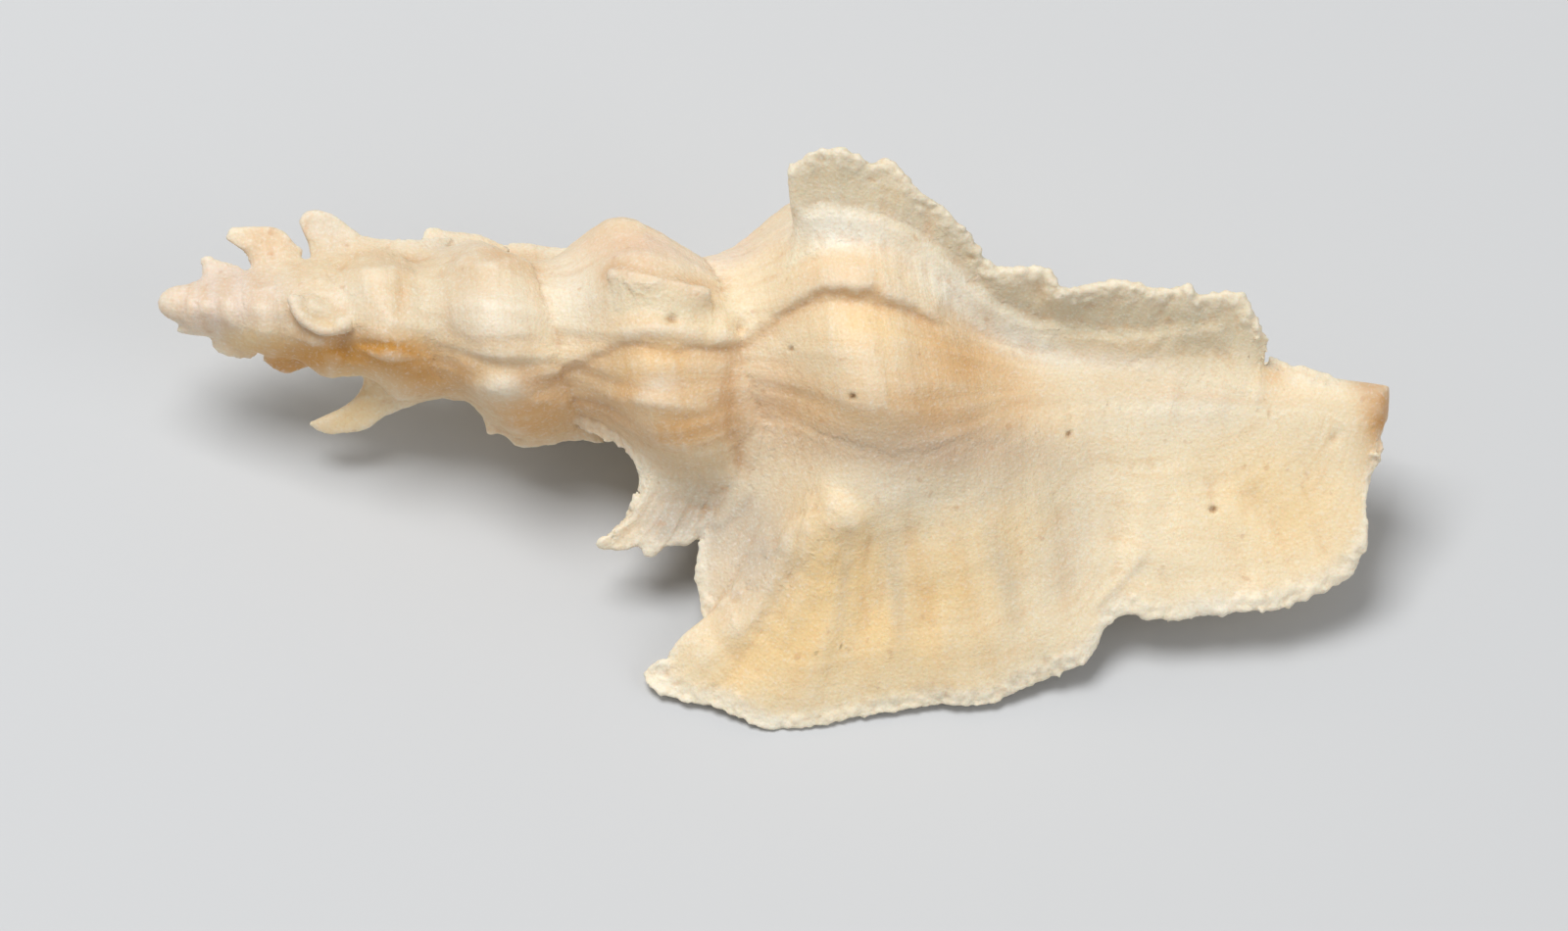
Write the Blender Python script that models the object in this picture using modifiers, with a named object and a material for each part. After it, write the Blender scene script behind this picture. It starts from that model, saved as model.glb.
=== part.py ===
"""Club murex shell, one closed solid, lying on the edges of two of its three wings.

The shell is built in its growth frame and then turned to the place where it comes to rest. In the
growth frame x runs along the coiling axis from the apex to the tip of the canal, z points out of the
middle of the back, and y points to the dorsal wing. An angle turns from z towards y, so 0 is the
middle of the back and 90 is y. The shell coils towards smaller angles as it grows.
"""

import bmesh
import bpy
from math import ceil, cos, exp, log, pi, radians, sin
from mathutils import Vector

MM = 0.001

# Growth, with lengths in mm and angles in degrees.
LENGTH = 70.0
WHORL_GROWTH = 1.47
LIP_ANGLE = -62.0
LIP_SUTURE_X = 35.5
LIP_RUN_ON = 18.0
WHORLS = 8.25
APEX_LENGTH = 3.8
APEX_RADIUS = 1.15
SHOULDER_RADIUS = ((0.0, 0.7), (1.0, 1.15), (3.0, 1.65), (6.0, 2.4), (12.0, 3.8), (18.5, 5.2), (25.7, 6.7),
                   (32.0, 8.0), (39.0, 8.95), (50.0, 10.3), (62.0, 11.5), (90.0, 13.5))
CANAL_RADIUS = ((0.0, 0.0), (36.0, 1.6), (46.0, 2.8), (52.0, 2.6), (58.0, 2.1), (66.0, 1.6), (70.0, 1.35))

# The outline of a whorl between two sutures, as shares of the shoulder radius.
WHORL_OUTLINE = ((0.0, 0.67), (0.14, 0.70), (0.3, 0.81), (0.45, 0.95), (0.56, 1.0), (0.7, 0.95),
                 (0.85, 0.82), (1.0, 0.67), (1.15, 0.42), (1.3, 0.26), (1.5, 0.16), (2.0, 0.08),
                 (12.0, 0.02))
SUTURE_DEPTH = ((0.0, 0.3), (4.0, 0.5), (9.0, 0.85), (14.0, 1.0))
BASE_START_AT_LIP = 0.80
LAST_WHORL_START = -342.0
LAST_WHORL_FORMED = -62.0
CANAL_BLEND = 6

# Varices: three to a whorl, a little less than a third of a turn apart on the later whorls.
VARIX_STEP = 340.0 / 3.0
EARLY_VARIX_STEP = 120.0
LATE_VARICES = 9
VARIX_COUNT = 24
VARIX_HEIGHTS = (0.04, 0.15, 0.07)
VARIX_TRAILS = (14.0, 15.0, 18.0)
VARIX_LEDGE = 26.0
VARIX_LEDGE_FALL = 5.0
VARIX_LEDGE_HEIGHT = 0.6
VARIX_AT_SUTURE = 0.3
NODE_HEIGHT = 0.07
NODE_BACK = 52.0
NODE_SPREAD = 20.0
NODE_WIDTH = 0.22

# Facets of the coiled body.
STEPS_PER_WHORL = 32
ROWS_PER_WHORL = 6
BASE_ROWS = 6
CANAL_ROWS = 3
CANAL_START = 57.0
APEX_INSIDE = 3.0
APEX_SEGMENTS = 16
APEX_RINGS = 10

# Wings and flanges. Each row is (x at the foot, x, y and z at the edge), and the angles of a wing's
# foot are given along it. A line from foot to edge that ends nearer the apex turns back late, as a hook.
# A sheet thins from its foot to its edge.
WING_SINK = 0.9
WING_FOOT = 2.4
WING_EDGE = 0.65
WING_THINNING = 4
WING_RINGS = 5
FLANGE_RINGS = 3
HOOK_TURN = 2.8
LABRAL_WING = (
    (33.4, 33.4, -9.2, 1.0), (34.2, 32.1, -10.5, 1.3), (35.0, 31.7, -12.8, 1.8), (35.8, 32.1, -14.6, 2.2),
    (36.5, 32.8, -15.9, 2.5), (37.2, 31.2, -16.8, 2.8), (37.7, 29.3, -18.2, 3.1), (38.1, 30.0, -19.4, 3.3),
    (38.5, 31.4, -19.9, 3.3), (38.9, 33.6, -20.1, 3.4), (39.4, 36.0, -21.0, 3.8), (40.2, 38.0, -21.1, 3.9),
    (41.2, 40.4, -20.5, 3.5), (42.4, 43.0, -19.6, 2.9), (43.8, 46.0, -18.9, 2.4), (45.5, 48.6, -18.6, 2.2),
    (47.3, 51.2, -17.2, 2.0), (49.0, 53.6, -16.0, 2.2), (50.4, 54.7, -14.8, 2.0), (51.8, 55.0, -13.7, 1.9),
    (53.2, 56.3, -12.9, 1.8), (55.4, 58.8, -13.0, 1.6), (57.8, 61.2, -12.4, 1.4), (60.2, 64.0, -12.0, 1.2),
    (62.4, 66.2, -11.1, 1.0), (64.4, 68.2, -9.9, 0.8), (66.2, 69.4, -7.8, 0.6), (67.8, 69.2, -5.0, 0.4),
    (69.3, 69.9, -2.2, 0.2))
LABRAL_ANGLES = ((33.0, -60.0), (37.0, -44.0), (40.0, -36.0), (45.0, -36.0), (52.0, -50.0), (70.0, -58.0))
DORSAL_WING = (
    (35.6, 34.9, 10.4, 7.6), (36.4, 36.0, 11.3, 7.9), (37.8, 37.9, 11.9, 8.1), (39.4, 39.4, 11.2, 7.9),
    (40.6, 40.8, 11.2, 7.7), (42.0, 42.4, 9.6, 7.2), (43.4, 44.1, 8.6, 6.7), (44.8, 45.6, 7.5, 6.0),
    (46.2, 47.0, 6.0, 5.2), (48.0, 49.8, 6.2, 4.8), (49.8, 51.1, 5.2, 4.3), (52.0, 54.2, 5.8, 4.1),
    (54.4, 56.6, 5.6, 3.8), (56.4, 58.0, 6.1, 3.7), (57.8, 58.7, 5.4, 3.4), (59.4, 60.6, 5.9, 3.3),
    (60.8, 61.6, 5.0, 2.9), (62.4, 62.9, 3.0, 2.0))
DORSAL_ANGLES = ((35.0, 47.0), (62.0, 56.0))
BACK_WING = (
    (29.0, 28.0, 3.4, -10.6), (29.8, 28.6, 3.8, -12.9), (31.2, 30.4, 3.8, -13.5), (33.0, 32.8, 3.8, -13.5),
    (35.0, 35.0, 3.7, -13.4), (37.0, 37.4, 3.6, -13.4), (39.2, 40.0, 3.4, -12.0), (41.6, 42.8, 3.2, -9.8),
    (44.0, 45.6, 3.0, -8.4), (46.6, 48.4, 2.9, -7.4), (49.4, 51.4, 2.8, -6.6), (52.4, 54.6, 2.7, -6.2),
    (55.6, 57.8, 2.6, -5.6), (58.8, 61.0, 2.4, -4.8), (61.6, 63.6, 1.9, -3.8), (64.4, 66.0, 1.5, -3.0),
    (66.4, 67.4, 0.8, -2.0))
BACK_ANGLES = ((29.0, 164.0), (67.0, 140.0))

LAST_WINGS = (("labral_wing", LABRAL_ANGLES, LABRAL_WING),
              ("dorsal_wing", DORSAL_ANGLES, DORSAL_WING),
              ("back_wing", BACK_ANGLES, BACK_WING))

# Older flanges: name, angle of the foot, thickness at the foot and the edge, rows as for the wings.
OLDER_FLANGES = (
    ("labral_flange_2", -76.0, 1.5, 0.55, (
        (24.6, 24.6, -5.6, 1.4), (25.7, 25.8, -5.7, 1.5), (26.6, 27.0, -6.1, 1.6),
        (27.2, 27.7, -6.9, 1.7), (27.8, 28.0, -8.0, 1.8), (28.3, 27.7, -9.2, 1.9),
        (28.9, 26.0, -11.4, 1.9), (29.3, 26.8, -11.8, 2.0), (29.7, 27.6, -11.7, 2.0),
        (30.1, 28.2, -11.5, 2.0), (30.6, 29.0, -12.0, 2.1), (31.3, 30.0, -11.3, 2.1),
        (31.9, 31.2, -11.0, 2.2), (32.6, 32.4, -10.0, 2.3), (33.3, 33.6, -9.2, 2.5),
        (34.0, 34.2, -7.8, 2.9))),
    ("labral_flange_3", -98.0, 1.2, 0.5, (
        (18.0, 18.0, -4.2, -0.6), (18.8, 18.8, -4.8, -0.7), (19.6, 19.2, -5.9, -0.8),
        (20.4, 20.1, -5.8, -0.8), (21.1, 21.0, -6.4, -0.9), (22.0, 22.1, -6.3, -0.9),
        (22.9, 23.1, -6.1, -0.8), (23.6, 24.0, -5.9, -0.8), (24.3, 24.5, -5.6, -0.7))),
    ("labral_hook_4", -114.0, 1.2, 0.5, (
        (11.9, 8.9, -6.1, -2.4), (12.4, 9.9, -6.6, -2.6), (13.0, 11.0, -6.5, -2.6),
        (13.6, 12.2, -6.2, -2.5), (14.2, 13.2, -5.4, -2.2), (14.9, 14.3, -4.8, -1.9),
        (15.8, 15.6, -4.3, -1.7), (16.8, 16.8, -4.1, -1.6), (17.8, 18.0, -4.2, -1.6))),
    ("labral_lobe_5", -116.0, 0.9, 0.45, (
        (6.3, 6.0, -2.8, -1.2), (6.9, 6.6, -3.2, -1.4), (7.6, 7.6, -3.5, -1.5),
        (8.4, 8.6, -3.1, -1.4), (9.2, 9.6, -2.6, -1.2))),
    ("labral_lobe_6", -112.0, 0.8, 0.4, (
        (3.4, 3.1, -1.9, -0.7), (4.0, 3.8, -2.4, -0.9), (4.8, 4.9, -2.7, -1.0),
        (5.6, 5.9, -2.5, -0.9))),
    ("back_flange_2", 144.0, 1.5, 0.55, (
        (20.4, 18.6, 5.0, -6.9), (20.9, 19.6, 5.2, -7.2), (21.6, 21.0, 5.2, -7.2),
        (22.6, 22.4, 5.2, -6.9), (23.8, 24.2, 5.0, -6.5), (25.4, 26.0, 4.6, -6.2),
        (27.2, 28.0, 4.2, -5.9))),
    ("back_flange_3", 124.0, 1.2, 0.5, (
        (14.8, 14.3, 5.0, -3.4), (15.2, 14.7, 5.6, -3.8), (16.2, 16.0, 5.6, -3.8),
        (17.2, 17.2, 5.6, -3.8), (18.2, 18.4, 5.3, -3.6), (19.2, 19.6, 4.9, -3.3))),
    ("back_hook_4", 104.0, 1.2, 0.5, (
        (8.4, 7.5, 5.2, -1.4), (8.8, 7.8, 5.9, -1.5), (9.4, 8.8, 6.0, -1.5),
        (10.0, 9.8, 5.7, -1.4), (10.8, 10.9, 5.0, -1.2), (11.8, 12.2, 4.7, -1.1),
        (12.8, 13.3, 4.8, -1.1), (13.6, 14.3, 4.9, -1.1))),
    ("back_hook_5", 100.0, 1.2, 0.5, (
        (5.1, 3.4, 3.9, -0.7), (5.5, 3.7, 4.6, -0.8), (6.0, 4.8, 4.8, -0.8),
        (6.5, 6.3, 4.8, -0.8), (7.1, 7.1, 4.3, -0.7), (7.8, 7.9, 3.7, -0.6))),
    ("back_hook_6", 98.0, 0.8, 0.4, (
        (2.4, 2.0, 2.5, -0.4), (3.3, 2.5, 2.9, -0.4), (3.9, 3.6, 2.7, -0.4),
        (4.6, 4.6, 2.6, -0.4))),
    ("dorsal_flap_2", 22.0, 1.2, 0.5, (
        (26.2, 25.5, 3.8, 6.9), (27.3, 26.8, 3.9, 7.1), (28.6, 28.2, 3.8, 7.3),
        (29.9, 29.8, 3.5, 7.5), (31.2, 31.3, 3.3, 7.7))),
    ("dorsal_flap_4", 2.0, 0.8, 0.4, (
        (8.3, 7.6, 0.3, 4.0), (8.9, 8.4, -0.5, 4.2), (9.8, 9.7, -0.9, 4.4),
        (10.8, 11.2, -0.7, 4.5))))

# The aperture and the channel of the canal.
MOUTH_X = 42.3
MOUTH_RADIUS = 5.5
MOUTH_HALF_LENGTH = 4.8
MOUTH_HALF_WIDTH = 2.35
MOUTH_FRONT_ANGLE = -108.0
MOUTH_BACK_ANGLE = 60.0
MOUTH_RINGS = 15
MOUTH_SIDES = 16
MOUTH_END_POWER = 8
MOUTH_END_SHARE = 0.12
RIM_START_ANGLE = -66.0
RIM_WIDTHS = ((-66.0, 0.95), (-79.0, 0.95), (-84.0, 0.8), (-87.0, 0.5))
CHANNEL_RADIUS = 0.55
CHANNEL_PATH = ((45.5, 5.4, -84.0), (48.5, 4.0, -90.0), (51.5, 2.7, -101.0), (55.0, 1.9, -112.0),
                (60.0, 1.65, -116.0), (65.0, 1.45, -117.0), (71.0, 1.3, -118.0))

# The resting place: the turn about x, then the dip of the canal, in degrees.
REST_ROLL = 35.0
REST_PITCH = 0.0
GROUND_FLAT = 0.15
GROUND_SIZE = 100.0

WELD_DISTANCE = 0.00001
SHARP_ANGLE = 60.0

SHELL_COLOUR = (0.82, 0.70, 0.52, 1.0)
SHELL_ROUGHNESS = 0.5


def smooth_between(points, at):
    """Value on a smooth line through (place, value) points, without overshoot."""
    if at <= points[0][0]:
        return points[0][1]
    if at >= points[-1][0]:
        return points[-1][1]
    index = max(i for i, point in enumerate(points) if point[0] <= at)
    slopes = []
    for i in (index, index + 1):
        before = points[max(i - 1, 0)]
        after = points[min(i + 1, len(points) - 1)]
        here = points[i]
        left = (here[1] - before[1]) / (here[0] - before[0]) if here != before else 0.0
        right = (after[1] - here[1]) / (after[0] - here[0]) if here != after else 0.0
        turning = left * right <= 0.0
        slopes.append(0.0 if turning else 2.0 * left * right / (left + right))
    (x0, y0), (x1, y1) = points[index], points[index + 1]
    width = x1 - x0
    t = (at - x0) / width
    start = (1 + 2 * t) * (1 - t) ** 2 * y0 + t * (1 - t) ** 2 * width * slopes[0]
    end = t * t * (3 - 2 * t) * y1 + t * t * (t - 1) * width * slopes[1]
    return start + end


def clamp(value):
    """Value held between 0 and 1."""
    return min(max(value, 0.0), 1.0)


def suture_x(growth):
    """Distance from the apex to the suture at a growth angle, which is 0 at the labral wing."""
    return LIP_SUTURE_X * WHORL_GROWTH ** (growth / 360.0)


def varix_growth(number):
    """Growth angle of a varix, counted back from the labral wing."""
    late = min(number, LATE_VARICES)
    return -late * VARIX_STEP - (number - late) * EARLY_VARIX_STEP


def varix_swelling(growth):
    """Height of the varices at a growth angle, as a share of the shoulder radius."""
    height = 0.0
    for number in range(VARIX_COUNT):
        past = growth - varix_growth(number)
        if past < 0.0:
            here = exp(-(past / VARIX_TRAILS[number % 3]) ** 2)
        elif past < VARIX_LEDGE:
            here = 1.0 - (1.0 - VARIX_LEDGE_HEIGHT) * past / VARIX_LEDGE
        else:
            here = VARIX_LEDGE_HEIGHT * max(0.0, 1.0 - (past - VARIX_LEDGE) / VARIX_LEDGE_FALL)
        height = max(height, VARIX_HEIGHTS[number % 3] * here)
    return height


def node_swelling(growth, share):
    """Height of the bulge between two varices, from 0 to 1."""
    height = 0.0
    for number in range(VARIX_COUNT):
        away = (growth - varix_growth(number) + NODE_BACK) / NODE_SPREAD
        height += exp(-away ** 2 - ((share - 0.5) / NODE_WIDTH) ** 2)
    return height


def surface_radius(x, growth):
    """Radius of the outer surface at a distance from the apex and a growth angle, in mm."""
    share = log(x / suture_x(growth)) / log(WHORL_GROWTH)
    last_whorl = clamp((growth - LAST_WHORL_START) / (LAST_WHORL_FORMED - LAST_WHORL_START))
    base_start = 1.0 + (BASE_START_AT_LIP - 1.0) * last_whorl
    first_whorl = clamp(WHORLS + (growth - LIP_RUN_ON) / 360.0)
    outline = WHORL_OUTLINE[0][1] * (1.0 - first_whorl)
    outline += smooth_between(WHORL_OUTLINE, share / base_start) * first_whorl
    outline = 1.0 - (1.0 - outline) * smooth_between(SUTURE_DEPTH, x)
    crest = VARIX_AT_SUTURE + (1.0 - VARIX_AT_SUTURE) * sin(pi * clamp(share))
    swelling = 1.0 + crest * varix_swelling(growth) + NODE_HEIGHT * node_swelling(growth, share)
    whorl = smooth_between(SHOULDER_RADIUS, x) * outline * swelling
    canal = smooth_between(CANAL_RADIUS, x)
    return (whorl ** CANAL_BLEND + canal ** CANAL_BLEND) ** (1.0 / CANAL_BLEND)


def growth_at(x, angle):
    """Growth angle of the outermost whorl at a distance from the apex and an angle round the axis."""
    growth = (LIP_ANGLE - angle - LIP_RUN_ON) % 360.0 + LIP_RUN_ON - 360.0
    inward = growth / 360.0 - log(x / LIP_SUTURE_X) / log(WHORL_GROWTH)
    return growth - 360.0 * max(0, ceil(inward))


def place(x, radius, angle):
    """Point of the growth frame, in metres, from cylinder coordinates in mm and degrees."""
    turn = radians(angle)
    return Vector((x, radius * sin(turn), radius * cos(turn))) * MM


def coiled_body(collection):
    """The whorls and the canal, lofted along the spiral, as one closed mesh."""
    mesh = bmesh.new()
    steps = int(WHORLS * STEPS_PER_WHORL)
    step_angle = 360.0 / STEPS_PER_WHORL
    first_last_whorl = steps - STEPS_PER_WHORL

    def column_growth(column):
        return LIP_RUN_ON - step_angle * (steps - column)

    def surface_vertex(x, growth):
        point = place(x, surface_radius(x, growth), LIP_ANGLE - growth)
        return mesh.verts.new(point)

    whorl_verts = {}
    for column in range(steps + 1):
        growth = column_growth(column)
        for row in range(ROWS_PER_WHORL):
            x = suture_x(growth) * WHORL_GROWTH ** (row / ROWS_PER_WHORL)
            whorl_verts[column, row] = surface_vertex(x, growth)

    last_row = BASE_ROWS + CANAL_ROWS
    base_verts = {}
    for column in range(first_last_whorl, steps + 1):
        growth = column_growth(column)
        start = suture_x(growth) * WHORL_GROWTH
        for row in range(BASE_ROWS):
            x = start + (CANAL_START - start) * row / BASE_ROWS
            base_verts[column, row] = surface_vertex(x, growth)
        for row in range(CANAL_ROWS + 1):
            x = CANAL_START + (LENGTH - CANAL_START) * row / CANAL_ROWS
            base_verts[column, BASE_ROWS + row] = surface_vertex(x, growth)
    shared = {(first_last_whorl, 0): whorl_verts[steps, 0]}
    for row in range(BASE_ROWS, last_row + 1):
        shared[steps, row] = base_verts[first_last_whorl, row]
    for index, kept in shared.items():
        mesh.verts.remove(base_verts[index])
        base_verts[index] = kept

    def vertex(column, row):
        if row < ROWS_PER_WHORL:
            return whorl_verts[column, row]
        if column + STEPS_PER_WHORL <= steps:
            return whorl_verts[column + STEPS_PER_WHORL, 0]
        return base_verts[column, 0]

    for column in range(steps):
        for row in range(ROWS_PER_WHORL):
            mesh.faces.new((vertex(column, row), vertex(column + 1, row),
                            vertex(column + 1, row + 1), vertex(column, row + 1)))
    for column in range(first_last_whorl, steps):
        for row in range(last_row):
            mesh.faces.new((base_verts[column, row], base_verts[column + 1, row],
                            base_verts[column + 1, row + 1], base_verts[column, row + 1]))

    outer = [vertex(steps, row) for row in range(ROWS_PER_WHORL)]
    outer += [base_verts[steps, row] for row in range(BASE_ROWS + 1)]
    inner = [base_verts[first_last_whorl, row] for row in range(BASE_ROWS + 1)]
    join_chains(mesh, outer, inner)

    inside = mesh.verts.new((APEX_INSIDE * MM, 0.0, 0.0))
    ring = [whorl_verts[column, 0] for column in range(STEPS_PER_WHORL + 1)]
    ring += [whorl_verts[0, row] for row in range(ROWS_PER_WHORL - 1, 0, -1)]
    for a, b in zip(ring, ring[1:] + ring[:1]):
        mesh.faces.new((inside, a, b))
    tip = mesh.verts.new((LENGTH * MM, 0.0, 0.0))
    ring = [base_verts[column, last_row] for column in range(first_last_whorl, steps)]
    for a, b in zip(ring, ring[1:] + ring[:1]):
        mesh.faces.new((tip, b, a))
    return mesh_object("club_murex_shell", mesh, collection)


def apex_cap(collection):
    """Smooth blunt tip that closes the first whorl."""
    mesh = bmesh.new()
    bmesh.ops.create_uvsphere(mesh, u_segments=APEX_SEGMENTS, v_segments=APEX_RINGS, radius=0.5)
    size = Vector((APEX_LENGTH, 2.0 * APEX_RADIUS, 2.0 * APEX_RADIUS)) * MM
    for vertex in mesh.verts:
        x, y, z = vertex.co
        vertex.co = ((z + 0.5) * size.x, x * size.y, y * size.z)
    return mesh_object("apex_cap", mesh, collection)


def join_chains(mesh, outer, inner):
    """Wall of triangles between two chains of vertices that share their first and last vertex."""
    i = 0
    j = 0
    while i < len(outer) - 1 or j < len(inner) - 1:
        outer_next = outer[i + 1].co.x if i < len(outer) - 1 else LENGTH
        inner_next = inner[j + 1].co.x if j < len(inner) - 1 else LENGTH
        if outer_next <= inner_next and i < len(outer) - 1:
            corners = (outer[i], inner[j], outer[i + 1])
            i += 1
        else:
            corners = (outer[i], inner[j], inner[j + 1])
            j += 1
        if len(set(corners)) == 3:
            mesh.faces.new(corners)


def mesh_object(name, mesh, collection):
    """Object of a finished mesh, with its faces pointing out."""
    bmesh.ops.recalc_face_normals(mesh, faces=mesh.faces[:])
    data = bpy.data.meshes.new(name)
    mesh.to_mesh(data)
    mesh.free()
    data.shade_smooth()
    data.set_sharp_from_angle(angle=radians(SHARP_ANGLE))
    made = bpy.data.objects.new(name, data)
    collection.objects.link(made)
    return made


def wing(name, angles, foot_thickness, edge_thickness, rows, rings, collection):
    """A wing or flange: a sheet from its foot in the body to its edge, given a thickness."""
    mesh = bmesh.new()
    bmesh.ops.create_grid(mesh, x_segments=len(rows) - 1, y_segments=rings, size=0.5)
    weights = {}
    for vertex in mesh.verts:
        column = round((vertex.co.x + 0.5) * (len(rows) - 1))
        out = vertex.co.y + 0.5
        foot_x, edge_x, edge_y, edge_z = rows[column]
        angle = smooth_between(angles, foot_x)
        radius = surface_radius(foot_x, growth_at(foot_x, angle)) - min(WING_SINK, 0.5 * foot_thickness)
        foot = place(foot_x, radius, angle)
        edge = Vector((edge_x, edge_y, edge_z)) * MM
        reach = (edge.yz - foot.yz).length
        hook = 1.0 + HOOK_TURN * max(0.0, foot.x - edge.x) / reach
        vertex.co = foot.lerp(edge, out)
        vertex.co.x = foot.x + (edge.x - foot.x) * out ** hook
        thinned = 1.0 - (1.0 - out) ** WING_THINNING
        weights[vertex.index] = 1.0 + (edge_thickness / foot_thickness - 1.0) * thinned
    sheet = mesh_object("sheet", mesh, collection)
    group = sheet.vertex_groups.new(name="thickness")
    for index, weight in weights.items():
        group.add([index], weight, "REPLACE")
    solidify = sheet.modifiers.new("Thickness", "SOLIDIFY")
    solidify.thickness = foot_thickness * MM
    solidify.offset = 0.0
    solidify.vertex_group = "thickness"
    return solid_from(name, sheet, collection)


def solid_from(name, source, collection):
    """Plain mesh object of a curve, or of a sheet with its modifiers, in the source's place."""
    graph = bpy.context.evaluated_depsgraph_get()
    data = bpy.data.meshes.new_from_object(source.evaluated_get(graph))
    mesh = bmesh.new()
    mesh.from_mesh(data)
    bmesh.ops.remove_doubles(mesh, verts=mesh.verts[:], dist=WELD_DISTANCE)
    bpy.data.objects.remove(source)
    bpy.data.meshes.remove(data)
    return mesh_object(name, mesh, collection)


def ring_loft(name, rings, collection):
    """Closed tube through rings of points, with a fan at each end."""
    mesh = bmesh.new()
    made = [[mesh.verts.new(point) for point in ring] for ring in rings]
    for first, second in zip(made, made[1:]):
        for i in range(len(first)):
            j = (i + 1) % len(first)
            mesh.faces.new((first[i], first[j], second[j], second[i]))
    mesh.faces.new(made[0])
    mesh.faces.new(made[-1])
    return mesh_object(name, mesh, collection)


def mouth_ring(angle, widen, shrink):
    """Oval section of the aperture's passage at an angle round the axis."""
    scale = WHORL_GROWTH ** ((RIM_START_ANGLE - max(angle, RIM_START_ANGLE)) / 360.0)
    points = []
    for side in range(MOUTH_SIDES):
        turn = 2.0 * pi * side / MOUTH_SIDES
        x = MOUTH_X * scale + (MOUTH_HALF_LENGTH * scale + widen) * shrink * cos(turn)
        radius = MOUTH_RADIUS * scale + (MOUTH_HALF_WIDTH * scale + widen) * shrink * sin(turn)
        points.append(place(x, radius, angle))
    return points


def mouth_passage(collection):
    """Cutter for the aperture and the hollow of the last whorl behind it."""
    rings = []
    for i in range(MOUTH_RINGS):
        t = i / (MOUTH_RINGS - 1)
        angle = MOUTH_FRONT_ANGLE + (MOUTH_BACK_ANGLE - MOUTH_FRONT_ANGLE) * t
        shrink = max(MOUTH_END_SHARE, (1.0 - t ** MOUTH_END_POWER) ** 0.5)
        rings.append(mouth_ring(angle, 0.0, shrink))
    return ring_loft("mouth_passage", rings, collection)


def mouth_rim(collection):
    """Raised rim round the aperture."""
    rings = [mouth_ring(angle, width, 1.0) for angle, width in RIM_WIDTHS]
    return ring_loft("mouth_rim", rings, collection)


def canal_channel(collection):
    """Cutter for the open channel of the siphonal canal."""
    curve = bpy.data.curves.new("canal_channel", "CURVE")
    curve.dimensions = "3D"
    curve.bevel_depth = CHANNEL_RADIUS * MM
    curve.bevel_resolution = 2
    curve.use_fill_caps = True
    curve.resolution_u = 2
    spline = curve.splines.new("BEZIER")
    spline.bezier_points.add(len(CHANNEL_PATH) - 1)
    for point, (x, radius, angle) in zip(spline.bezier_points, CHANNEL_PATH):
        point.co = place(x, radius, angle)
        point.handle_left_type = "AUTO"
        point.handle_right_type = "AUTO"
    path = bpy.data.objects.new("canal_path", curve)
    collection.objects.link(path)
    return solid_from("canal_channel", path, collection)


def combine(body, other, operation):
    """Boolean of the shell with another solid, which is then only a guide."""
    boolean = body.modifiers.new(other.name, "BOOLEAN")
    boolean.operation = operation
    boolean.solver = "EXACT"
    boolean.object = other
    other.hide_render = True
    other.display_type = "WIRE"


def lay_down(body, turned):
    """Turn the shell to its resting place and set it on the ground."""
    frame = bpy.data.objects.new("growth_frame", None)
    body.users_collection[0].objects.link(frame)
    for piece in turned:
        piece.parent = frame
    frame.rotation_euler = (radians(REST_ROLL), radians(REST_PITCH), 0.0)
    bpy.context.view_layer.update()
    graph = bpy.context.evaluated_depsgraph_get()
    evaluated = body.evaluated_get(graph)
    points = [evaluated.matrix_world @ vertex.co for vertex in evaluated.data.vertices]
    low = [min(point[i] for point in points) for i in range(3)]
    high = [max(point[i] for point in points) for i in range(3)]
    frame.location = (-(low[0] + high[0]) / 2, -(low[1] + high[1]) / 2, -low[2] - GROUND_FLAT * MM)


def ground(collection):
    """Cutter that wears the lowest edges flat."""
    mesh = bmesh.new()
    bmesh.ops.create_cube(mesh, size=GROUND_SIZE * MM)
    bmesh.ops.translate(mesh, verts=mesh.verts[:], vec=(0.0, 0.0, -0.5 * GROUND_SIZE * MM))
    return mesh_object("ground", mesh, collection)


def shell_material():
    """Plain cream shell."""
    material = bpy.data.materials.new("shell")
    material.use_nodes = True
    shader = material.node_tree.nodes["Principled BSDF"]
    shader.inputs["Base Color"].default_value = SHELL_COLOUR
    shader.inputs["Roughness"].default_value = SHELL_ROUGHNESS
    shader.inputs["Metallic"].default_value = 0.0
    return material


def new_collection(name):
    """Collection of the scene."""
    made = bpy.data.collections.new(name)
    bpy.context.scene.collection.children.link(made)
    return made


def main():
    for old in list(bpy.data.objects):
        bpy.data.objects.remove(old)
    shell = new_collection("club_murex")
    guides = new_collection("guides")

    body = coiled_body(shell)
    body.data.materials.append(shell_material())
    joined = [apex_cap(guides), mouth_rim(guides)]
    for name, angles, rows in LAST_WINGS:
        joined.append(wing(name, angles, WING_FOOT, WING_EDGE, rows, WING_RINGS, guides))
    for name, angle, foot, edge, rows in OLDER_FLANGES:
        joined.append(wing(name, ((0.0, angle),), foot, edge, rows, FLANGE_RINGS, guides))
    cut = [mouth_passage(guides), canal_channel(guides)]
    for other in joined:
        combine(body, other, "UNION")
    for other in cut:
        combine(body, other, "DIFFERENCE")
    lay_down(body, [body, *joined, *cut])
    combine(body, ground(guides), "DIFFERENCE")


main()
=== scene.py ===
"""Club murex shell: the coiled body, its wings and flanges, its relief, colour and the studio.

The shell is shaped in its growth frame, in millimetres: x runs along the coiling axis from the apex to
the tip of the canal, z points out of the middle of the back and y to the dorsal wing. An angle turns
from z towards y. The shell coils towards smaller angles as it grows.
"""

import math

import bmesh
import bpy
import numpy as np
from bpy.props import FloatProperty, FloatVectorProperty, IntProperty, PointerProperty
from mathutils import Matrix, Vector, noise
from mathutils.bvhtree import BVHTree
from mathutils.kdtree import KDTree


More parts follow.
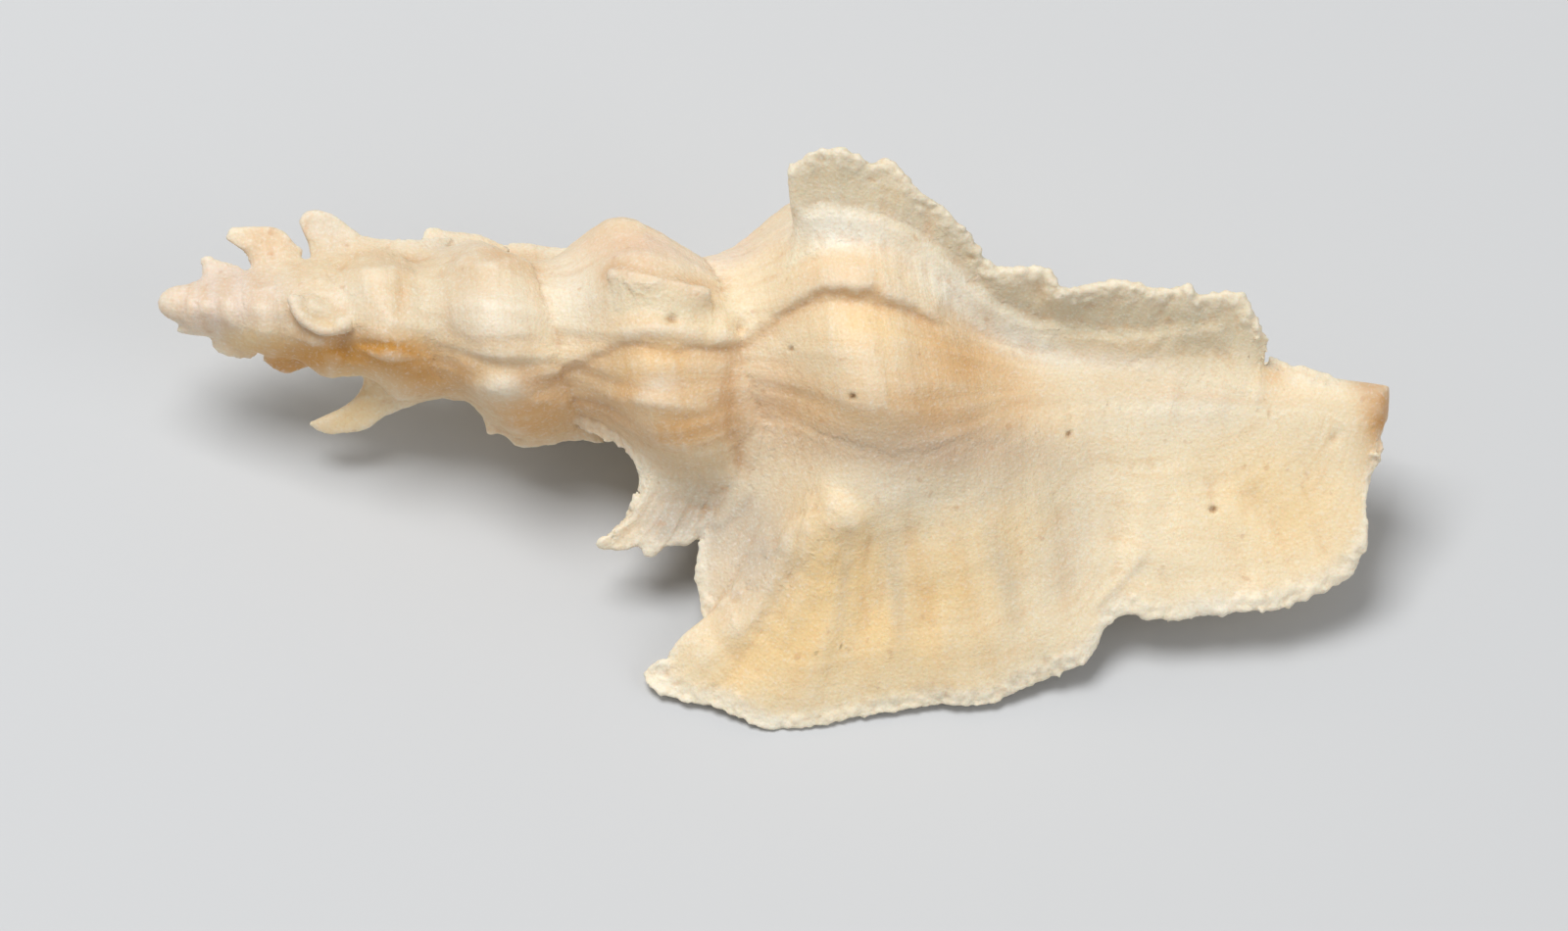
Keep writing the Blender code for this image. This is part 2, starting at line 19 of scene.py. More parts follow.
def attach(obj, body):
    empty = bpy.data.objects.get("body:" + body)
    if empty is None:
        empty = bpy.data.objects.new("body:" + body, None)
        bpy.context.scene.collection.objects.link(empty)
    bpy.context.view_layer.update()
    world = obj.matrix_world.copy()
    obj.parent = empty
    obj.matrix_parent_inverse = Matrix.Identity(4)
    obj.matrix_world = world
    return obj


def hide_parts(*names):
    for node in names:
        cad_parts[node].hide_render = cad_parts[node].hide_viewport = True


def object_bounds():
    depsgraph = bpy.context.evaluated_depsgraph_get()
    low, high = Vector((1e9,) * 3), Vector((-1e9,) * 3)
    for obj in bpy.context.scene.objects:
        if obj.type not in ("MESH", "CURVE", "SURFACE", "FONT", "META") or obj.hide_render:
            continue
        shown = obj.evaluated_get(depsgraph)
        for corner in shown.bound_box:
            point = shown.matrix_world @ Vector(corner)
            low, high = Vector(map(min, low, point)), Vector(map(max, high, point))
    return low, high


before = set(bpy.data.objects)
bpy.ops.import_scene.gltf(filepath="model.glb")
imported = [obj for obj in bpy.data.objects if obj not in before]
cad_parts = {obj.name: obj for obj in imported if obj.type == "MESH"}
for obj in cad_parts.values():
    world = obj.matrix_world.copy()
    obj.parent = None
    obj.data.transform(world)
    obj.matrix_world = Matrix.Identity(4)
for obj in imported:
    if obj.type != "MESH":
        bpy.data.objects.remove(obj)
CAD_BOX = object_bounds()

bl_info = {
    "name": "Club Murex Shell",
    "version": (1, 0, 0),
    "blender": (4, 5, 0),
    "location": "View3D > Sidebar > Shell",
    "description": "Builds a club murex shell with its wings, relief and colour, and a studio for it",
    "category": "Add Mesh",
}

MM = 0.001
NODE = "club_murex_shell"

# Where the growth frame lies in the world, in mm and degrees.
FRAME_PLACE = (-35.0, 4.34, 9.029)
REST_ROLL = 35.0

# Growth, with lengths in mm and angles in degrees.
LIP_ANGLE = -62.0
LIP_RUN_ON = 18.0
APEX_LENGTH = 3.8
SHOULDER_RADIUS = ((0.0, 0.7), (1.0, 1.15), (3.0, 1.65), (6.0, 2.4), (12.0, 3.8), (18.5, 5.2), (25.7, 6.7),
                   (32.0, 8.0), (39.0, 8.95), (50.0, 10.3), (62.0, 11.5), (90.0, 13.5))
CANAL_RADIUS = ((0.0, 0.0), (36.0, 1.6), (46.0, 2.8), (52.0, 2.6), (58.0, 2.1), (66.0, 1.6), (70.0, 1.35))
WHORL_OUTLINE = ((0.0, 0.67), (0.14, 0.70), (0.3, 0.81), (0.45, 0.95), (0.56, 1.0), (0.7, 0.95),
                 (0.85, 0.82), (1.0, 0.67), (1.15, 0.42), (1.3, 0.26), (1.5, 0.16), (2.0, 0.08),
                 (12.0, 0.02))
SUTURE_DEPTH = ((0.0, 0.1), (4.0, 0.18), (9.0, 0.35), (14.0, 0.6), (20.0, 0.85), (27.0, 1.0), (70.0, 1.0))
BASE_START_AT_LIP = 0.80
LAST_WHORL_START = -342.0
LAST_WHORL_FORMED = -62.0
CANAL_BLEND = 6
VARIX_STEP = 340.0 / 3.0
EARLY_VARIX_STEP = 120.0
LATE_VARICES = 9
VARIX_TRAILS = (14.0, 15.0, 18.0)
VARIX_LEDGE = 26.0
VARIX_LEDGE_FALL = 4.0
VARIX_LEDGE_HEIGHT = 0.6
VARIX_AT_SUTURE = 0.3
NODE_BACK = 52.0
NODE_SPREAD = 20.0
NODE_WIDTH = 0.22

# Wings and flanges. Each row is (x at the foot, x, y and z at the edge), and the angles of a wing's
# foot are given along it. A line from foot to edge that ends nearer the apex turns back late, as a hook.
WING_SINK = 0.9
HOOK_TURN = 2.8
WING_THINNING = 4
LABRAL_WING = (
    (33.4, 33.4, -9.2, 1), (34.2, 32.1, -10.5, 1.3), (35, 31.7, -12.8, 1.8), (35.8, 32.1, -14.6, 2.2),
    (36.4, 33, -16.2, 2.5), (37, 31.5, -17, 2.8), (37.3, 30.1, -17.5, 2.95), (37.7, 29.2, -18.4, 3.1),
    (38.1, 29.9, -19.4, 3.3), (38.5, 31.3, -20, 3.3), (38.9, 33.6, -20.1, 3.4), (39.4, 36, -21, 3.8),
    (40.2, 38, -21.1, 3.9), (41.2, 40.4, -20.5, 3.5), (42.4, 43, -19.6, 2.9), (43.8, 46, -18.9, 2.4),
    (45.5, 48.6, -18.6, 2.2), (47.3, 51.2, -17.2, 2), (49, 53.6, -16, 2.2), (50.4, 54.7, -14.8, 2),
    (51.8, 55, -13.7, 1.9), (53.2, 56.3, -12.9, 1.8), (55.4, 58.8, -13, 1.6), (57.8, 61.2, -12.4, 1.4),
    (60.2, 64, -12, 1.2), (62.4, 66.2, -11.1, 1), (64.4, 68.2, -9.9, 0.8), (66.2, 69.4, -7.8, 0.6),
    (67.8, 69.2, -5, 0.4), (69.3, 69.9, -2.2, 0.2))
LABRAL_ANGLES = ((33.0, -60.0), (37.0, -44.0), (40.0, -36.0), (45.0, -36.0), (52.0, -50.0), (70.0, -58.0))
DORSAL_WING = (
    (35.6, 34.9, 10.4, 7.6), (36.4, 36, 11.3, 7.9), (37.8, 37.9, 11.9, 8.1), (39.4, 39.4, 11.2, 7.9),
    (40.6, 40.8, 11.2, 7.7), (42, 42.4, 9.6, 7.2), (43.4, 44.1, 8.6, 6.7), (44.8, 45.6, 7.5, 6),
    (46.2, 47, 6, 5.2), (48, 49.8, 6.2, 4.8), (49.8, 51.1, 5.2, 4.3), (52, 54.2, 5.8, 4.1),
    (54.4, 56.6, 5.6, 3.8), (56.4, 58, 6.1, 3.7), (57.8, 58.7, 5.4, 3.4), (59.4, 60.6, 5.9, 3.3),
    (60.8, 61.6, 5, 2.9), (62.4, 62.9, 3, 2))
DORSAL_ANGLES = ((35.0, 47.0), (62.0, 56.0))
BACK_WING = (
    (29, 28, 3.4, -10.6), (29.8, 28.6, 3.8, -12.9), (31.2, 30.4, 3.8, -13.5), (33, 32.8, 3.8, -13.5),
    (35, 35, 3.7, -13.4), (37, 37.4, 3.6, -13.4), (39.2, 40, 3.4, -12), (41.6, 42.8, 3.2, -9.8),
    (44, 45.6, 3, -8.4), (46.6, 48.4, 2.9, -7.4), (49.4, 51.4, 2.8, -6.6), (52.4, 54.6, 2.7, -6.2),
    (55.6, 57.8, 2.6, -5.6), (58.8, 61, 2.4, -4.8), (61.6, 63.6, 1.9, -3.8), (64.4, 66, 1.5, -3),
    (66.4, 67.4, 0.8, -2))
BACK_ANGLES = ((29.0, 164.0), (67.0, 140.0))
LAST_WINGS = (("labral", LABRAL_ANGLES, LABRAL_WING),
              ("dorsal", DORSAL_ANGLES, DORSAL_WING),
              ("back", BACK_ANGLES, BACK_WING))

# Older flanges: name, angle of the foot, thickness at the foot and the edge, rows as for the wings.
OLDER_FLANGES = (
    ("labral_2", -76, 1.5, 0.55, (
        (24.6, 24.4, -5.1, 0.6), (25.7, 25.7, -5.6, 1.1), (26.6, 27, -6.1, 1.5), (27.2, 27.7, -6.9, 1.7),
        (27.8, 28, -8, 1.8), (28.3, 27.7, -9.2, 1.9), (28.9, 26, -11.4, 1.9), (29.3, 26.8, -11.8, 2),
        (29.7, 27.6, -11.7, 2), (30.1, 28.2, -11.5, 2), (30.6, 29, -12, 2), (31.3, 30, -11.3, 1.9),
        (31.9, 31.2, -11, 1.8), (32.6, 32.4, -10, 1.6), (33.3, 33.4, -9.3, 1.6), (34, 34, -8, 2.1))),
    ("labral_3", -98, 1.2, 0.5, (
        (18, 18, -4.2, -0.6), (18.8, 18.8, -4.8, -0.7), (19.6, 19.2, -5.9, -0.8), (20.4, 20.1, -5.8, -0.8),
        (21.1, 21, -6.4, -0.9), (22, 22.1, -6.3, -0.9), (22.9, 23.1, -6.1, -0.8), (23.6, 24, -5.9, -0.8),
        (24.3, 24.5, -5.8, -0.6), (25, 25.3, -5.9, -0.2), (25.6, 26, -5.9, 0.2))),
    ("labral_4", -114, 1.2, 0.5, (
        (11.9, 8.9, -6.1, -2.4), (12.4, 9.9, -6.6, -2.6), (13, 11, -6.5, -2.6), (13.6, 12.2, -6.2, -2.5),
        (14.2, 13.2, -5.4, -2.2), (14.9, 14.3, -4.8, -1.9), (15.8, 15.6, -4.3, -1.7), (16.8, 16.8, -4.1, -1.6),
        (17.8, 18, -4.2, -1.6))),
    ("labral_5", -116, 0.9, 0.45, (
        (6.3, 6, -2.8, -1.2), (6.9, 6.6, -3.2, -1.4), (7.6, 7.6, -3.5, -1.5), (8.4, 8.6, -3.1, -1.4),
        (9.2, 9.6, -2.6, -1.2))),
    ("labral_6", -112, 0.8, 0.4, (
        (3.4, 3.1, -2.2, -0.7), (4, 3.8, -2.6, -0.9), (4.8, 4.9, -2.85, -1), (5.6, 5.9, -2.5, -0.9))),
    ("labral_7", -112, 1.1, 0.8, (
        (1.5, 1.15, -1.5, -0.45), (1.9, 1.6, -1.65, -0.5), (2.4, 2.3, -1.7, -0.5), (3, 3.1, -1.7, -0.6))),
    ("back_2", 144, 1.5, 0.55, (
        (20.4, 18.6, 5, -6.9), (20.9, 19.6, 5.2, -7.2), (21.6, 21, 5.2, -7.2), (22.6, 22.4, 5.2, -6.9),
        (23.8, 24.2, 5, -6.5), (25.4, 26, 4.6, -6.2), (27.2, 28, 4.2, -5.9))),
    ("back_3", 124, 1.2, 0.5, (
        (14.8, 14.3, 5, -3.4), (15.2, 14.7, 5.6, -3.8), (16.2, 16, 5.6, -3.8), (17.2, 17.2, 5.6, -3.8),
        (18.2, 18.4, 5.3, -3.6), (19.2, 19.6, 4.9, -3.3))),
    ("back_4", 104, 1.2, 0.5, (
        (8.4, 7.5, 5.2, -1.4), (8.8, 7.8, 5.9, -1.5), (9.4, 8.8, 6, -1.5), (10, 9.8, 5.7, -1.4),
        (10.8, 10.9, 5, -1.2), (11.8, 12.2, 4.7, -1.1), (12.8, 13.3, 4.8, -1.1), (13.6, 14.3, 4.9, -1.3),
        (14.4, 15.2, 5.1, -2), (15.4, 16.2, 5.1, -2.8))),
    ("back_5", 100, 1.2, 0.5, (
        (5.1, 3.4, 3.9, -0.7), (5.5, 3.7, 4.6, -0.8), (6, 4.8, 4.8, -0.8), (6.5, 6.3, 4.8, -0.8),
        (7.1, 7.1, 4.3, -0.7), (7.8, 7.9, 3.7, -0.6))),
    ("back_6", 98, 0.8, 0.4, (
        (2.4, 2, 2.5, -0.4), (3.3, 2.5, 2.9, -0.4), (3.9, 3.6, 2.7, -0.4), (4.6, 4.6, 2.6, -0.4))),
    ("dorsal_2", 14, 1.2, 0.5, (
        (26.2, 25.5, 3.7, 6.05), (27.3, 26.8, 3.9, 6.4), (28.6, 28.2, 3.8, 6.65), (29.9, 29.8, 3.5, 6.85),
        (31.2, 31.3, 3.3, 7.05))),
    ("dorsal_4", 13, 0.9, 0.45, (
        (8.2, 7.5, 0.95, 3.4), (8.6, 8, -0.1, 3.65), (9.3, 8.9, -0.75, 3.75), (10.1, 10.1, -1, 3.8),
        (10.9, 11.1, -0.5, 3.65))),
    ("canal_edge", 70, 0.8, 0.45, (
        (62.8, 62.9, 2.6, 0.3), (63.6, 63.6, 2.45, 0.3), (64.4, 64.3, 2.05, 0.3), (64.9, 65, 2.2, 0.3),
        (65.6, 65.7, 1.8, 0.3), (66.1, 66.3, 1.9, 0.3), (66.6, 66.9, 1.45, 0.3))))

# How crusted the edges of the older flanges are, where the last wings have 1 and the others 0.1.
FLANGE_CRUST = {"labral_2": 0.6, "labral_3": 0.3, "back_2": 0.4, "canal_edge": 0.6}

SHEET_NAMES = [row[0] for row in (*LAST_WINGS, *OLDER_FLANGES)]

# Fineness, in mm where it is a length: rows and columns of the coil, spacing of the wings' and flanges'
# points, sides of the aperture's rings, the first skin, and the rings of the passage and of the rim.
COIL_ROWS = 583
COIL_COLUMNS = 361
WING_SPACING = 0.24
FLANGE_SPACING = 0.18
MOUTH_SIDES = 96
FIRST_SKIN = 0.15
PASSAGE_RINGS = 70
RIM_RINGS = 24

# Relief, in mm where it is a size: growth lines, cords, the ribs of the wings, rough crust and broad lumps.
COIL_LINE_SIZE = 0.9
COIL_LINES_ACROSS = 2.5
COIL_LINE_STRENGTH = 1.6
CORD_SPACING = 0.95
CORD_FADE = (3.0, 12.0)
WING_LINE_SIZE = 0.8
WING_LINE_LENGTH = 5.0
WING_LINE_STRENGTH = 0.45
SHEET_OFFSET = 3.0
RIB_WIDTH = 0.6
FRINGE_RIB_WIDTH = 0.4
FRINGE_RIB_STRENGTH = 1.8
FINE_ROUGHNESS = 0.42
COARSE_ROUGHNESS = 0.95
BARE_CRUST = 0.1
BROAD_LUMP_SIZE = 2.6
BROAD_LUMP_HEIGHT = 0.10

# Grains of the crust: their number to a square mm at full crust, how much they vary and how flat they are.
GRAIN_DENSITY = 1.6
GRAIN_VARIATION = 0.6
GRAIN_FLATNESS = 0.6

# Crust of a flange that FLANGE_CRUST doesn't name, and the share of it that shows on the dorsal wing.
PLAIN_CRUST = 0.1
DORSAL_CRUST = 0.35

# Rounds of smoothing that a hollow is measured from, and the depth in mm that counts as a full hollow, which
# takes the fullest painted shade.
HOLLOW_ROUNDS = 6
HOLLOW_DEPTH = 0.12

# Teeth of the lip: their ring's angle, the sides of it that carry them, how far in it lies and half the size
# of a tooth, both in mm.
LIP_TEETH_ANGLE = -84.5
LIP_TEETH_SIDES = slice(10, 39)
LIP_TEETH_INSET = 0.05
LIP_TOOTH_SIZE = (0.34, 0.42, 0.26)

# Distances from the apex between which relief or paint fades, and a whorl's height as a share of it.
EARLY_FADE = (1.0, 10.0)
CANAL_FADE = (44.0, 51.0)
CANAL_PAINT_FADE = (45.0, 52.0)
WHORL_HEIGHT = 0.385

# The lowest height that is squeezed so that nothing lies under the floor, in mm.
FLOOR_SQUEEZE = 0.8

# The aperture and the channel of the canal.
MOUTH_MARGIN = 0.4
MOUTH_X = 42.3
MOUTH_RADIUS = 5.5
MOUTH_HALF_LENGTH = 4.8
MOUTH_HALF_WIDTH = 2.35
MOUTH_FRONT_ANGLE = -108.0
MOUTH_BACK_ANGLE = 60.0
MOUTH_NARROWING = 0.22
RIM_START_ANGLE = -66.0
RIM_WIDTHS = ((-66.0, 0.95), (-79.0, 0.95), (-84.0, 0.85), (-87.0, 0.6), (-88.5, 0.25))
CHANNEL_PATH = ((45.5, 5.4, -84.0), (48.5, 4.0, -90.0), (51.5, 2.7, -101.0), (55.0, 1.9, -112.0),
                (60.0, 1.65, -116.0), (65.0, 1.45, -117.0), (71.0, 1.3, -118.0))


class Formula:
    """A number in a node tree. Arithmetic on it adds Math nodes to the tree."""

    def __init__(self, tree, socket):
        self.tree = tree
        self.socket = socket

    def math(self, operation, *others):
        node = self.tree.nodes.new("ShaderNodeMath")
        node.operation = operation
        for place, value in zip(node.inputs, (self, *others)):
            if isinstance(value, Formula):
                self.tree.links.new(value.socket, place)
            else:
                place.default_value = value
        return Formula(self.tree, node.outputs[0])

    def __add__(self, other):
        return self.math("ADD", other)

    def __sub__(self, other):
        return self.math("SUBTRACT", other)

    def __mul__(self, other):
        return self.math("MULTIPLY", other)

    def __truediv__(self, other):
        return self.math("DIVIDE", other)

    def __pow__(self, other):
        return self.math("POWER", other)

    def held(self):
        """The number held between 0 and 1."""
        return self.math("MAXIMUM", 0.0).math("MINIMUM", 1.0)

    def bell(self):
        """Bell curve, 1 at 0 and near 0 beyond 2."""
        return ((self * self) * -1.0).math("EXPONENT")

    def picked(self, values):
        """The value that stands at this whole number, counted round and round."""
        index = self.math("FLOORED_MODULO", float(len(values)))
        total = index * 0.0
        for place, value in enumerate(values):
            total = total + index.math("COMPARE", float(place), 0.5) * value
        return total

    def along(self, points):
        """Value on a smooth line through (place, value) points."""
        first = points[0][0]
        span = points[-1][0] - first
        top = max(value for _, value in points)
        node = self.tree.nodes.new("ShaderNodeFloatCurve")
        line = node.mapping.curves[0]
        while len(line.points) < len(points):
            line.points.new(0.5, 0.5)
        for knot, (place, value) in zip(line.points, points):
            knot.location = ((place - first) / span, value / top)
            knot.handle_type = "AUTO_CLAMPED"
        node.mapping.update()
        self.tree.links.new(((self - first) / span).socket, node.inputs["Value"])
        return Formula(self.tree, node.outputs[0]) * top


def whorl_radius(x, turn, lip_x, whorl_growth, varix_heights, node_height):
    """Radius of the shell's surface at a distance from the apex and an angle round the axis, in mm."""
    growth = (turn * -1.0 + (LIP_ANGLE - LIP_RUN_ON)).math("FLOORED_MODULO", 360.0) + (LIP_RUN_ON - 360.0)
    along = (x / lip_x).math("LOGARITHM", whorl_growth)
    inward = (growth / 360.0 - along).math("CEIL").math("MAXIMUM", 0.0)
    growth = growth - inward * 360.0
    share = along - growth / 360.0

    number = growth / -VARIX_STEP
    early = (growth * -1.0 - LATE_VARICES * VARIX_STEP).math("MAXIMUM", 0.0)
    number = number + early * (1.0 / EARLY_VARIX_STEP - 1.0 / VARIX_STEP)
    older = number.math("CEIL")
    newer = number.math("FLOOR")
    past = (older - number) * VARIX_STEP
    ledge = (past / VARIX_LEDGE) * (VARIX_LEDGE_HEIGHT - 1.0) + 1.0
    fall = ((past - VARIX_LEDGE) / VARIX_LEDGE_FALL) * -VARIX_LEDGE_HEIGHT + VARIX_LEDGE_HEIGHT
    behind = ledge.math("MINIMUM", fall).math("MAXIMUM", 0.0) * older.picked(varix_heights)
    before = (number - newer) * VARIX_STEP
    ahead = (before / newer.picked(VARIX_TRAILS)).bell() * newer.picked(varix_heights)
    varix = behind.math("MAXIMUM", ahead)
    bulge = ((before - NODE_BACK) / NODE_SPREAD).bell() * ((share - 0.5) / NODE_WIDTH).bell()

    last_whorl = ((growth - LAST_WHORL_START) / (LAST_WHORL_FORMED - LAST_WHORL_START)).held()
    base_start = last_whorl * (BASE_START_AT_LIP - 1.0) + 1.0
    outline = (share / base_start).along(WHORL_OUTLINE)
    outline = (outline - 1.0) * x.along(SUTURE_DEPTH) + 1.0
    crest = (share.held() * math.pi).math("SINE") * (1.0 - VARIX_AT_SUTURE) + VARIX_AT_SUTURE
    swelling = crest * varix + bulge * node_height + 1.0
    whorl = x.along(SHOULDER_RADIUS) * outline * swelling
    canal = x.along(CANAL_RADIUS)
    return (whorl ** float(CANAL_BLEND) + canal ** float(CANAL_BLEND)) ** (1.0 / CANAL_BLEND)


def new_object(name, data):
    """Object of a mesh, curve, lamp or camera, put in the scene."""
    made = bpy.data.objects.new(name, data)
    bpy.context.scene.collection.objects.link(made)
    return made


def shape_tree(name, inputs):
    """Node tree with named inputs, its input node, and the socket that takes the shape to its material."""
    tree = bpy.data.node_groups.new(name, "GeometryNodeTree")
    for label, kind in inputs.items():
        tree.interface.new_socket(label, in_out="INPUT", socket_type="NodeSocket" + kind)
    tree.interface.new_socket("Geometry", in_out="OUTPUT", socket_type="NodeSocketGeometry")
    given = tree.nodes.new("NodeGroupInput")
    realize = tree.nodes.new("GeometryNodeRealizeInstances")
    finish = tree.nodes.new("GeometryNodeSetMaterial")
    done = tree.nodes.new("NodeGroupOutput")
    tree.links.new(realize.outputs["Geometry"], finish.inputs["Geometry"])
    tree.links.new(given.outputs["Material"], finish.inputs["Material"])
    tree.links.new(finish.outputs["Geometry"], done.inputs[0])
    return tree, given, realize.inputs["Geometry"]


COIL_SIZES = ("Length", "Lip suture", "Whorl growth", "Apex radius", "Labral varix", "Dorsal varix",
              "Back varix", "Node height")


def coil_tree():
    """Node tree that winds the shell's body and canal by the rule of its growth."""
    tree, given, end = shape_tree("coiled_body", {
        **dict.fromkeys(COIL_SIZES, "Float"), "Rows": "Int", "Columns": "Int", "Material": "Material"})
    link = tree.links.new
    sizes = {name: Formula(tree, given.outputs[name]) for name in (*COIL_SIZES, "Rows", "Columns")}
    length = sizes["Length"] / MM
    rows = sizes["Rows"]

    grid = tree.nodes.new("GeometryNodeMeshGrid")
    grid.inputs["Size X"].default_value = 1.0
    grid.inputs["Size Y"].default_value = 1.0
    link(rows.socket, grid.inputs["Vertices X"])
    link(sizes["Columns"].socket, grid.inputs["Vertices Y"])
    split = tree.nodes.new("ShaderNodeSeparateXYZ")
    link(tree.nodes.new("GeometryNodeInputPosition").outputs[0], split.inputs[0])
    along = Formula(tree, split.outputs["X"]) + 0.5
    turn = (Formula(tree, split.outputs["Y"]) + 0.5) * 360.0

    last = (rows - 1.5) / (rows - 1.0)
    open_row = along.math("LESS_THAN", last)
    x = (along * ((rows - 1.0) / (rows - 2.0))).math("MINIMUM", 1.0) * length
    held_x = x.math("MAXIMUM", 0.05)
    heights = (sizes["Labral varix"], sizes["Dorsal varix"], sizes["Back varix"])
    coil = whorl_radius(held_x, turn, sizes["Lip suture"] / MM, sizes["Whorl growth"], heights,
                        sizes["Node height"])
    coil = coil * ((x - 1.2) / 0.6).held()
    middle = 0.5 * APEX_LENGTH
    apex = (((x - middle) / middle) ** 2.0 * -1.0 + 1.0).math("MAXIMUM", 0.0).math("SQRT")
    radius = coil.math("MAXIMUM", apex * (sizes["Apex radius"] / MM)) * open_row

    place = tree.nodes.new("ShaderNodeCombineXYZ")
    angle = turn * (math.pi / 180.0)
    for name, value in (("X", x), ("Y", radius * angle.math("SINE")), ("Z", radius * angle.math("COSINE"))):
        link(value.socket, place.inputs[name])
    shape = tree.nodes.new("GeometryNodeSetPosition")
    merge = tree.nodes.new("GeometryNodeMergeByDistance")
    merge.inputs["Distance"].default_value = 0.001
    link(grid.outputs["Mesh"], shape.inputs["Geometry"])
    link(place.outputs[0], shape.inputs["Position"])
    link(shape.outputs[0], merge.inputs["Geometry"])
    link(merge.outputs[0], end)
    return tree


def tree_result(name, source, tree, values):
    """Plain mesh object that a node tree makes of an object, with the tree's inputs set by name."""
    modifier = source.modifiers.new("Nodes", "NODES")
    modifier.node_group = tree
    for item in tree.interface.items_tree:
        if item.in_out == "INPUT" and item.name in values:
            modifier[item.identifier] = values[item.name]
    made = baked(name, source)
    bpy.data.objects.remove(source)
    return made


def evaluated_mesh(thing):
    """New mesh of an object's evaluated shape."""
    bpy.context.view_layer.update()
    graph = bpy.context.evaluated_depsgraph_get()
    return bpy.data.meshes.new_from_object(thing.evaluated_get(graph))


def baked(name, source):
    """Plain mesh object of another object's evaluated shape."""
    data = evaluated_mesh(source)
    data.name = name
    return new_object(name, data)


def apply_modifiers(thing):
    """Replaces an object's mesh with its evaluated shape."""
    data = evaluated_mesh(thing)
    old = thing.data
    thing.modifiers.clear()
    thing.data = data
    bpy.data.meshes.remove(old)
    data.name = thing.name


def edit_mesh(data, change):
    """Changes a mesh by a function of its bmesh."""
    mesh = bmesh.new()
    mesh.from_mesh(data)
    change(mesh)
    mesh.to_mesh(data)
    mesh.free()


def outward(data):
    """Turns a closed mesh's faces outwards."""
    edit_mesh(data, lambda mesh: bmesh.ops.recalc_face_normals(mesh, faces=mesh.faces[:]))


def mesh_object(name, points, faces):
    """Object of points in mm and faces, with its faces turned out."""
    data = bpy.data.meshes.new(name)
    data.from_pydata(np.asarray(points).tolist(), [], faces)
    outward(data)
    return new_object(name, data)


def coordinates(data, kind="co"):
    """Vertex positions of a mesh, or its vertices' "normal" vectors, as an array."""
    values = np.empty(len(data.vertices) * 3)
    data.vertices.foreach_get(kind, values)
    return values.reshape(-1, 3)


def set_coordinates(data, points):
    """Moves a mesh's vertices."""
    data.vertices.foreach_set("co", np.asarray(points, dtype=np.float32).ravel())
    data.update()


def step(values, low, high):
    """Smooth step from 0 at low to 1 at high."""
    t = np.clip((values - low) / (high - low), 0.0, 1.0)
    return t * t * (3.0 - 2.0 * t)


def grain(points, size, seed):
    """Smooth noise from -1 to 1 at points, with lumps of a size."""
    shifted = points / size + (17.3 * seed, 5.1 * seed, 9.7 * seed)
    return np.array([noise.noise(place) for place in shifted.tolist()])


def smooth_rows(rows, spacing):
    """Rows of numbers with more between them on a smooth line, so that their ends are a spacing apart."""
    rows = np.array(rows)
    padded = np.vstack([rows[0], rows, rows[-1]])
    result = []
    for i in range(1, len(padded) - 2):
        before, start, end, after = padded[i - 1:i + 3]
        parts = max(1, math.ceil(np.linalg.norm(end[1:] - start[1:]) / spacing))
        for t in np.arange(parts) / parts:
            bend = (2 * before - 5 * start + 4 * end - after) * t
            bend = bend + (3 * start - before - 3 * end + after) * t * t
            result.append(start + 0.5 * t * ((end - before) + bend))
    result.append(rows[-1])
    return np.array(result)


class Body:
    """The coiled body's outer surface, as lines from outside to the axis meet it."""

    def __init__(self, data):
        faces = [tuple(face.vertices) for face in data.polygons]
        self.tree = BVHTree.FromPolygons(coordinates(data).tolist(), faces)

    def foot(self, x, angle, sink):
        """Point a little under the surface at a distance from the apex and an angle round the axis."""
        turn = math.radians(angle)
        out = Vector((0.0, math.sin(turn), math.cos(turn)))
        hit = self.tree.ray_cast(Vector((x, 0.0, 0.0)) + out * 30.0, -out)[0]
        return hit - out * sink


